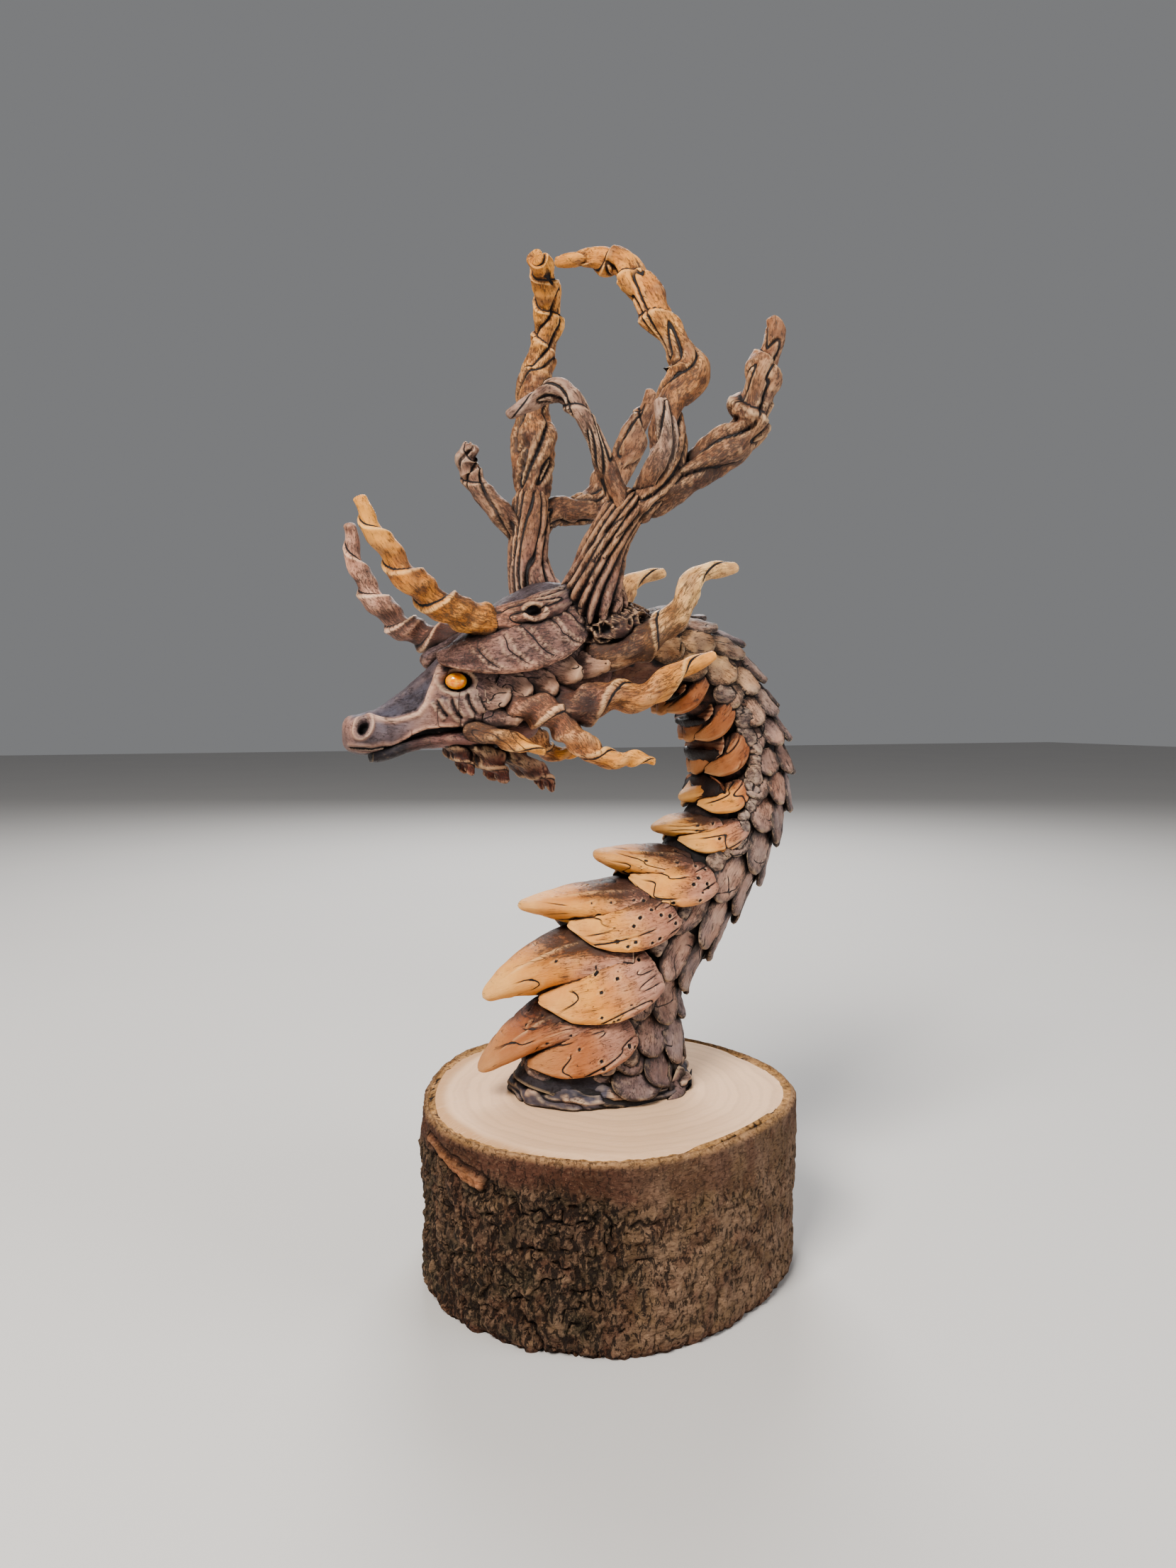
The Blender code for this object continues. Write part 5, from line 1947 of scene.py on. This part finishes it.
    def fill(self, heap: Heap) -> None:
        """Presses the horns on, and then each cheek's spikes.

        Args:
            heap: The piece that they are pressed on.
        """
        for rope in (*self.horns(), *self.cheek_spikes(-1.0), *self.cheek_spikes(1.0)):
            heap.press(rope.lump())


@dataclass
class Antler(ClayPiece):
    """One antler: a trunk of twisted strands on a root mesh, and knuckled, fluted tines."""

    name: str
    trunk: Stations
    front_tine: Stations
    main_beam: Stations
    rear_tine: Stations
    foot: Triple
    seed: int
    foot_half: Triple = (10.4, 7.6, 5.4)
    stub: Stations = ()

    def make_trunk(self) -> Lump:
        """Shapes the trunk, fluted as if it were a bundle of strands that spread at the foot."""
        return Rope(self.trunk, 126, 90, flutes=14, flute_depth=0.20, flute_turns=0.14, fold=0.10,
                    fold_size=2.2, scoring=0.7, near=Paint.MAUVE, far=Paint.TAN, soil=0.6, clean_tip=0.0,
                    seed=self.seed).lump()

    def make_root_mesh(self) -> Lump:
        """Shapes the sponge-like mound under the trunk, a net of roots over black hollows.

        Returns:
            The mound.
        """
        ahead, aside, up = np.diag(self.foot_half)
        made = Lump(120, 84, nugget(np.array(self.foot), up, ahead, aside))
        drift = 3.2 * (np.stack([noise(made.points, 2.8, axis) for axis in range(3)], axis=1) - 0.5)
        nearest, second, luck = cells((made.points + drift) * np.array([1.0, 1.0, 0.7]), 2.5, self.seed + 3)
        hollow = smooth(0.35, 0.95, second - nearest)
        height = 0.9 * (luck - 0.5) - 1.8 * hollow + 0.4 * (noise(made.points, 1.2, 8) - 0.5)
        made.carve(height, 0.95 * hollow)
        made.paint(blend(Paint.BROWN, Paint.MAUVE, 0.6 * layered(made.points, 2.0, 12)))
        made.dirty(0.85)
        return made

    def knuckles(self, places: list[float]) -> Line:
        """Gives swellings, each with a sharp step after it.

        Args:
            places: The shares of a tine's length at which they are.

        Returns:
            The factor for the tine's radius at each share.
        """

        def swell(share: Array) -> Array:
            """Adds the swellings up."""
            total = np.ones(len(share))
            for index, place in enumerate(places):
                gap = (share - place) / 0.05
                total += (0.15 + 0.04 * (index % 2)) * np.exp(-np.where(gap > 0, gap * 1.8, gap * 0.75) ** 2)
            return total

        return swell

    def fill(self, heap: Heap) -> None:
        """Presses the root mesh, the trunk and the tines on.

        Args:
            heap: The piece that they are pressed on.
        """
        heap.press(self.make_root_mesh())
        heap.press(self.make_trunk())
        gnarled = {"fold": 0.42, "scoring": 0.95, "roughness": 0.12, "clean_tip": 0.35, "line_width": 1.9,
                   "near": Paint.TAN}
        tines = [Rope(self.front_tine, 50, 130, wraps=3.0, wrap_height=0.26, wrap_from=0.45, far=Paint.BEIGE,
                      soil=0.75, fold_turns=0.9, seed=self.seed + 11,
                      swell=self.knuckles([0.30, 0.62, 0.80]), **gnarled),
                 Rope(self.main_beam, 56, 210, wraps=8.0, wrap_height=0.34, wrap_from=0.55, far=Paint.GOLD,
                      soil=0.75, fold_turns=1.2, seed=self.seed + 12,
                      swell=self.knuckles([0.22, 0.46, 0.66, 0.78, 0.88]), **gnarled)]
        if self.stub:
            tines.append(Rope(self.stub, 44, 70, far=Paint.BEIGE, soil=0.8, fold_turns=0.3,
                              seed=self.seed + 14, **gnarled))
        tines.append(Rope(self.rear_tine, 50, 130, wraps=5.0, wrap_height=0.46, wrap_from=0.50, far=Paint.TAN,
                          soil=0.85, fold_turns=0.7, seed=self.seed + 13,
                          swell=self.knuckles([0.40, 0.60, 0.74]), **gnarled))
        for tine in tines:
            heap.press(tine.lump())


# The eyes


@dataclass
class EyeBeads:
    """The two amber beads."""

    place: Triple = (-34.3, 7.5, 88.2)
    half: Triple = (2.15, 1.8, 1.7)
    turn: float = math.radians(14)

    def build(self, name: str, side: float, finish: Material) -> Object:
        """Makes one bead.

        Args:
            name: The object's name.
            side: -1 for the left, 1 for the right.
            finish: The amber.

        Returns:
            The bead.
        """
        bm = bmesh.new()
        place = Matrix.Translation(Vector(self.place) * Vector((1, side, 1)) + Vector((0, 0, FOOT_LEVEL)))
        shape = place @ Matrix.Rotation(side * self.turn, 4, "Z") @ Matrix.Diagonal((*self.half, 1))
        whole = Matrix.Scale(METRE, 4) @ shape
        bmesh.ops.create_uvsphere(bm, u_segments=40, v_segments=28, radius=1.0, matrix=whole)
        mesh = meshed(name, bm)
        mesh.materials.append(finish)
        return smooth_object(name, mesh)


# The log


@dataclass
class LogSlice:
    """The slice of a log: rough bark, and pale wood at both sawn ends."""

    width: float = 85.0
    height: float = 38.0
    oval: float = 0.975
    bulge: float = 0.9
    bark_thickness: float = 3.0
    sides: int = 620
    levels: int = 96
    wood_rings: int = 20
    one_degree: float = 0.742
    tongue: Stations = (
        (-127.2, 34.0), (-121.5, 33.4), (-116.4, 32.4), (-111.2, 31.3), (-108.4, 30.9))

    def outline(self, angle: Array, radius: Array | float) -> Array:
        """Draws the log's not quite round outline.

        Args:
            angle: Angles round the log.
            radius: Its radius there, before the waves of its outline.

        Returns:
            x and y for each angle.
        """
        wave = self.bulge * (np.cos(3 * angle + 0.6) + 0.6 * np.cos(5 * angle + 2.0)) - 1.6 * self.bulge
        reach = radius + wave
        return np.stack([np.cos(angle) * reach, np.sin(angle) * reach * self.oval], axis=1)

    def wall(self) -> bmesh.types.BMesh:
        """Stands a tube of faces up, a row of them for each level of bark and each ring of the top.

        Returns:
            The tube, closed at both ends, each row one higher than the last.
        """
        bm = bmesh.new()
        bmesh.ops.create_circle(bm, cap_ends=False, segments=self.sides, radius=1.0)
        edges = bm.edges[:]
        for _ in range(self.levels + self.wood_rings):
            grown = bmesh.ops.extrude_edge_only(bm, edges=edges)["geom"]
            edges = [item for item in grown if isinstance(item, bmesh.types.BMEdge)]
            fresh = [item for item in grown if isinstance(item, bmesh.types.BMVert)]
            bmesh.ops.translate(bm, vec=(0, 0, 1), verts=fresh)
        bmesh.ops.contextual_create(bm, geom=edges)
        first = [edge for edge in bm.edges if edge.is_boundary]
        bmesh.ops.contextual_create(bm, geom=first)
        bmesh.ops.recalc_face_normals(bm, faces=bm.faces)
        return bm

    def bark_relief(self, places: Array, level: Array, angle: Array) -> tuple[Array, ...]:
        """Works out the bark's relief.

        Args:
            places: Points on the smooth wall.
            level: Their height as a share of the log's.
            angle: Their angle round the log.

        Returns:
            How far out each point goes, how dark it is, its colour, its distance from a crack, that crack's
            strength, and how rough the bark is there.
        """
        finish = Bark()
        paints = (finish.band, finish.flake, finish.olive, finish.grey)
        band, flake, olive, grey = (np.array(linear(*paint)) for paint in paints)
        drift = 3.4 * (np.stack([layered(places, 4.0, seed) for seed in (1, 2, 3)], axis=1) - 0.5)
        warped = places + drift
        outward = np.column_stack([np.cos(angle), np.sin(angle), np.zeros(len(angle))])
        uneven = level + 0.18 * (layered(places, 8.0, 5) - 0.5) + 0.05 * np.sin(angle + 1.0)
        smooth_band = smooth(0.72, 0.82, uneven)
        calm = smooth(0.35, 0.80, np.cos(angle + 0.85) + 0.3 * (layered(places, 7.0, 6) - 0.5))
        rough = (1 - 0.75 * smooth_band) * (1 - 0.50 * calm)
        where = smooth(0.44, 0.56, layered(places, 7.0, 20, 2))
        long_swing, long_crack = veins(warped, (0.9, 0.9, 0.34), 3.4, 21, outward)
        flat_swing, flat_crack = veins(warped, (0.45, 0.45, 1.0), 3.0, 19, outward)
        fine_swing, fine_crack = veins(warped, (1.0, 1.0, 0.7), 1.9, 22, outward)
        tiny = layered(warped, 1.1, 23, 2)
        lumps = (1 - where) * np.sqrt(np.abs(long_swing)) + where * np.sqrt(np.abs(flat_swing))
        fine = 0.75 * (np.sqrt(np.abs(fine_swing)) - 0.62) + 0.7 * (tiny - 0.5)
        height = rough * (1.5 * (lumps - 0.62) + fine)
        height += 0.25 * (tiny - 0.5) + 1.2 * (layered(places, 10.0, 24) - 0.5) - 0.15
        height -= 0.5 * smooth(0.10, 0.0, level) * layered(places, 1.8, 27)
        here = smooth(0.44, 0.58, layered(places, 2.8, 11))
        crack, strength = nearest_line((long_crack, (1 - where) * (0.15 + 0.85 * rough) * here),
                                       (flat_crack, where * rough * here),
                                       (fine_crack * 1.6, 0.8 * rough * here))
        height -= 0.55 * groove(crack, 0.42) * strength
        mark = 0.7 * rough * smooth(0.36, 0.24, tiny)
        tone = blend(flake, olive, smooth(0.35, 0.65, layered(places, 5.0, 33)))
        worn = 0.7 * smooth(0.60, 0.85, lumps) * smooth(0.45, 0.6, tiny)
        tone = blend(tone, grey, np.clip(0.85 * calm + worn, 0, 1))
        tone = blend(tone, band, 0.55 * smooth(0.52, 0.66, layered(places, 3.5, 34)))
        tone = blend(tone, band, 0.9 * smooth_band * (1 - 0.75 * calm))
        low = smooth(0.09, 0.0, level + 0.05 * (tiny - 0.5))
        tone = blend(tone, np.array(linear(0.38, 0.21, 0.15)), 0.7 * low)
        flat = np.column_stack([np.degrees(angle) * self.one_degree, level * self.height])
        tongue, reach, _ = from_line(flat, self.tongue)
        wide = 0.7 + 0.9 * smooth(0.0, 1.0, reach) + 1.2 * (layered(places, 2.0, 36) - 0.5)
        flap = smooth(wide, wide - 0.7, tongue)
        edge = groove(tongue - wide - 0.4, 0.4)
        height = height * (1 - 0.6 * flap) + 0.55 * flap * (0.3 + 0.7 * reach) - 0.4 * edge
        mark = np.maximum(mark * (1 - flap), 0.7 * edge)
        strength = strength * (1 - flap)
        tone = blend(tone, np.array(linear(0.66, 0.45, 0.32)) * (0.6 + 0.8 * tiny[:, None]), flap)
        tone = blend(tone, np.array(linear(0.76, 0.60, 0.44)), smooth(0.965, 1.0, level))
        return height, mark, tone, crack, strength, rough * (1 - flap)

    def build(self, bark: Material, wood: Material) -> Object:
        """Makes the log slice.

        Args:
            bark: The bark's material.
            wood: The sawn wood's material.

        Returns:
            The log as one object with both materials.
        """
        mesh = meshed("log_slice", self.wall())
        x, y, step = vectors_of(mesh.vertices, "co").T
        rows = vectors_of(mesh.polygons, "center")[:, 2]
        sawn = (rows > self.levels + 3) | (rows < 0.1)
        angle = np.arctan2(y, x)
        level = np.clip(step / self.levels, 0, 1)
        inward = np.clip((step - self.levels) / self.wood_rings, 0, 1)
        half = self.width / 2
        corner = 0.9 * (1 - smooth(0.0, 0.03, level)) + 0.9 * smooth(0.97, 1.0, level)
        rim = half - corner
        smooth_wall = np.column_stack([self.outline(angle, rim), level * self.height])
        height, mark, tone, crack, strength, rough = self.bark_relief(smooth_wall, level, angle)
        on_top = inward > 0
        bark_share = 1 - smooth(0.0, 0.14, inward)
        top_radius = (half - 0.9) * (1 - inward ** 1.6 * 0.985)
        radius = np.where(on_top, top_radius + height * bark_share * 0.6, rim + height)
        places = np.column_stack([self.outline(angle, radius), level * self.height])
        fibre = layered(np.column_stack([places[:, :2], np.zeros(len(places))]), 0.9, 41)
        depth = half - 1.6 * self.bulge - np.hypot(places[:, 0], places[:, 1] / self.oval)
        bark_ring = smooth(self.bark_thickness + 0.5, self.bark_thickness - 0.3, depth) * on_top
        places[:, 2] -= on_top * bark_ring * (0.25 + 0.7 * fibre)
        inner = depth - self.bark_thickness - 0.1
        places[:, 2] -= on_top * 0.35 * groove(inner, 0.22)
        ragged = 0.4 * smooth(0.06, 0.0, level) * layered(places, 1.5, 43)
        places[:, 2] += np.where(level <= 0, 0.0, ragged)
        fibrous = np.array(linear(0.80, 0.62, 0.42)) * (0.35 + 1.0 * fibre[:, None])
        tint = np.where(on_top[:, None], fibrous, tone)
        dark = np.where(on_top, 0.75 * groove(inner, 0.25) + 0.5 * smooth(0.42, 0.25, fibre), mark)
        mesh.vertices.foreach_set("co", (places * METRE).ravel())
        mesh.update()
        strength = strength * ~on_top
        keep_paint(mesh, tint, np.column_stack([dark, crack, strength, rough * ~on_top]), places)
        mesh.materials.append(bark)
        mesh.materials.append(wood)
        mesh.polygons.foreach_set("material_index", sawn.astype(np.int32))
        return smooth_object("log_slice", mesh)


# The studio


@dataclass
class Studio:
    """A pale floor, soft lights and a camera where the photograph was taken."""

    azimuth: float = -20.0
    pitch: float = 4.0
    distance: float = 225.8
    side: float = -3.6
    camera_height: float = 120.6
    focal: float = 1470.0
    frame_height: float = 2212.0
    sensor: float = 36.0
    floor_size: float = 6.0
    figure_middle: float = 0.11

    def floor(self) -> Object:
        """Lays the floor.

        Returns:
            The floor.
        """
        bm = bmesh.new()
        bmesh.ops.create_grid(bm, x_segments=2, y_segments=2, size=self.floor_size / 2)
        mesh = meshed("floor", bm)
        mesh.materials.append(PaleFloor().material())
        return placed("floor", mesh)

    def camera(self) -> None:
        """Sets the camera."""
        turn, dip = math.radians(self.azimuth), math.radians(self.pitch)
        right = Vector((math.cos(turn), math.sin(turn), 0))
        stand = Vector((math.sin(turn), -math.cos(turn), 0)) * self.distance + right * self.side
        data = bpy.data.cameras.new("camera")
        data.sensor_width = self.sensor
        data.lens = self.sensor * self.focal / self.frame_height
        data.clip_start = 0.005
        data.clip_end = 20.0
        made = placed("camera", data)
        made.location = (stand + Vector((0, 0, self.camera_height))) * METRE
        made.rotation_euler = (math.pi / 2 - dip, 0, turn)
        bpy.context.scene.camera = made

    def light(self, name: str, place: Triple, size: float, power: float,
              colour: Triple = (1.0, 1.0, 1.0)) -> None:
        """Hangs one soft box that looks at the figure.

        Args:
            name: The light's name.
            place: Where it hangs, in metres.
            size: The width of its face.
            power: Its power in watts.
            colour: Its colour.
        """
        data = bpy.data.lights.new(name, "AREA")
        data.shape = "SQUARE"
        data.size = size
        data.energy = power
        data.color = colour
        made = placed(name, data)
        made.location = place
        look = Vector((0, 0, self.figure_middle)) - Vector(place)
        made.rotation_euler = look.to_track_quat("-Z", "Y").to_euler()

    def build(self) -> Object:
        """Sets up the studio.

        Returns:
            The floor.
        """
        self.camera()
        self.light("key_light", (-0.50, -0.42, 0.72), 0.32, 11.0, (1.0, 0.96, 0.90))
        self.light("fill_light", (0.60, -0.50, 0.30), 0.45, 3.0, (0.95, 0.97, 1.0))
        self.light("rim_light", (0.25, 0.70, 0.65), 0.45, 6.0)
        world = bpy.data.worlds.new("studio")
        world.use_nodes = True
        sky = world.node_tree.nodes["Background"].inputs
        sky["Color"].default_value = (0.90, 0.91, 0.93, 1.0)
        sky["Strength"].default_value = 0.22
        bpy.context.scene.world = world
        bpy.context.scene.view_settings.look = "AgX - Medium High Contrast"
        return self.floor()


LEFT_ANTLER = Antler(
    name="left_antler",
    trunk=[(-5.2, -8.0, 100.5, 7.2), (-6.2, -9.6, 105.5, 6.6), (-5.6, -12.0, 112.0, 5.0),
           (-3.4, -14.4, 119.0, 4.3),
           (0.5, -17, 125.5, 3.8)],
    front_tine=[(-1.5, -16, 120.5, 2.8), (-6.0, -17.8, 128.0, 2.3), (-9.6, -19, 135.2, 2.0),
                (-13.0, -17.6, 141.6, 2.2), (-17, -15, 143.8, 2.1), (-24.7, -11, 139.5, 0.9)],
    main_beam=[(-0.5, -16.5, 120.5, 2.8), (5.2, -19.4, 129.6, 3.6), (5.2, -21, 137.2, 3.1),
               (5.4, -22, 142.6, 3.1),
               (9.0, -22, 148.0, 3.4), (6.8, -19, 155.5, 2.6), (3.6, -15, 163.4, 3.0),
               (0.8, -10.6, 171.2, 2.5),
               (-3.0, -7.6, 173.2, 2.5), (-12.2, -3, 173.6, 1.0)],
    rear_tine=[(1.0, -16.5, 122.0, 3.0), (7.8, -18.5, 127.5, 3.8), (15.2, -22, 133.2, 3.6),
               (20.8, -24.2, 138.0, 3.9),
               (21.8, -26, 145.5, 3.6), (24.6, -26, 152.5, 2.5), (25.9, -26, 159.2, 1.7)],
    stub=[(0.6, -15.6, 121.0, 2.0), (2.6, -20.0, 128.2, 2.8), (4.0, -22.6, 133.6, 2.5),
          (3.4, -23.4, 138.4, 2.1),
          (2.6, -23.2, 142.2, 1.7)],
    foot=(-1.6, -8.0, 99.6), seed=100)
RIGHT_ANTLER = Antler(
    name="right_antler",
    trunk=[(-9, 8.0, 101.5, 6.4), (-13.0, 9.5, 109.0, 5.2), (-13.8, 11, 115.4, 4.4), (-12.8, 13, 123, 4.2),
           (-12, 15, 131.5, 3.6)],
    front_tine=[(-13, 11.5, 119, 2.8), (-18.1, 13.2, 124.2, 2.6), (-24, 16, 131.6, 2.4),
                (-26, 16, 136.6, 2.2),
                (-25.4, 13.5, 139.8, 1.7)],
    main_beam=[(-12.4, 14.4, 127, 3.2), (-10.8, 16.5, 137, 4.5), (-10, 19.5, 148.8, 3.8),
               (-9.4, 20, 156.4, 3.4),
               (-7.2, 19.6, 163.6, 3.0), (-7.4, 16.6, 171.6, 2.9), (-10.3, 11, 177.0, 2.4),
               (-13.2, 7, 178.2, 1.7)],
    rear_tine=[(-12, 13.2, 121.4, 2.6), (-6.3, 17, 127.2, 3.2), (0.4, 19, 128.2, 3.3), (6, 21, 131.6, 3.4),
               (12.6, 22.6, 141, 3.1), (18.6, 23, 152.4, 2.5), (20.6, 22, 158.4, 1.4)],
    foot=(-4.0, 8.0, 99.6), seed=200)


def surround(pieces: list[Object]) -> BVHTree:
    """Gathers the surfaces of all pieces, so that each can be tested for what shuts it in.

    Args:
        pieces: The pieces.

    Returns:
        A tree of their surfaces.
    """
    bm = bmesh.new()
    for piece in pieces:
        bm.from_mesh(piece.data)
    tree = BVHTree.FromBMesh(bm)
    bm.free()
    return tree


def report(piece: Object) -> None:
    """Logs a piece's name and how many triangles it has."""
    triangles = sum(len(face.vertices) - 2 for face in piece.data.polygons)
    LOG.info("%s: %d triangles", piece.name, triangles)


def main() -> None:
    """Builds the log, the dragon on it and the studio round them."""
    logging.basicConfig(level=logging.INFO, format="%(name)s %(message)s")
    clay, amber = RubbedClay().material(), Amber().material()
    figure = [Neck().build(clay), BellyPlates().build(clay), Head().build(clay), Spikes().build(clay),
              LEFT_ANTLER.build(clay), RIGHT_ANTLER.build(clay)]
    log = LogSlice().build(Bark().material(), SawnWood().material())
    tree = surround(figure + [log])
    for piece in figure:
        keep_relief(piece, tree, 0.0024)
        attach(piece, "root")
        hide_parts("dragon")
        report(piece)
    keep_relief(log, tree, 0.0020, 4)
    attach(log, "root")
    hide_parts("log_plinth")
    report(log)
    beads = EyeBeads()
    for name, node, side in (("left_eye_bead", "eye_left", -1.0), ("right_eye_bead", "eye_right", 1.0)):
        bead = beads.build(name, side, amber)
        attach(bead, "root")
        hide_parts(node)
        report(bead)
    Studio().build()


if __name__ == "__main__":
    main()
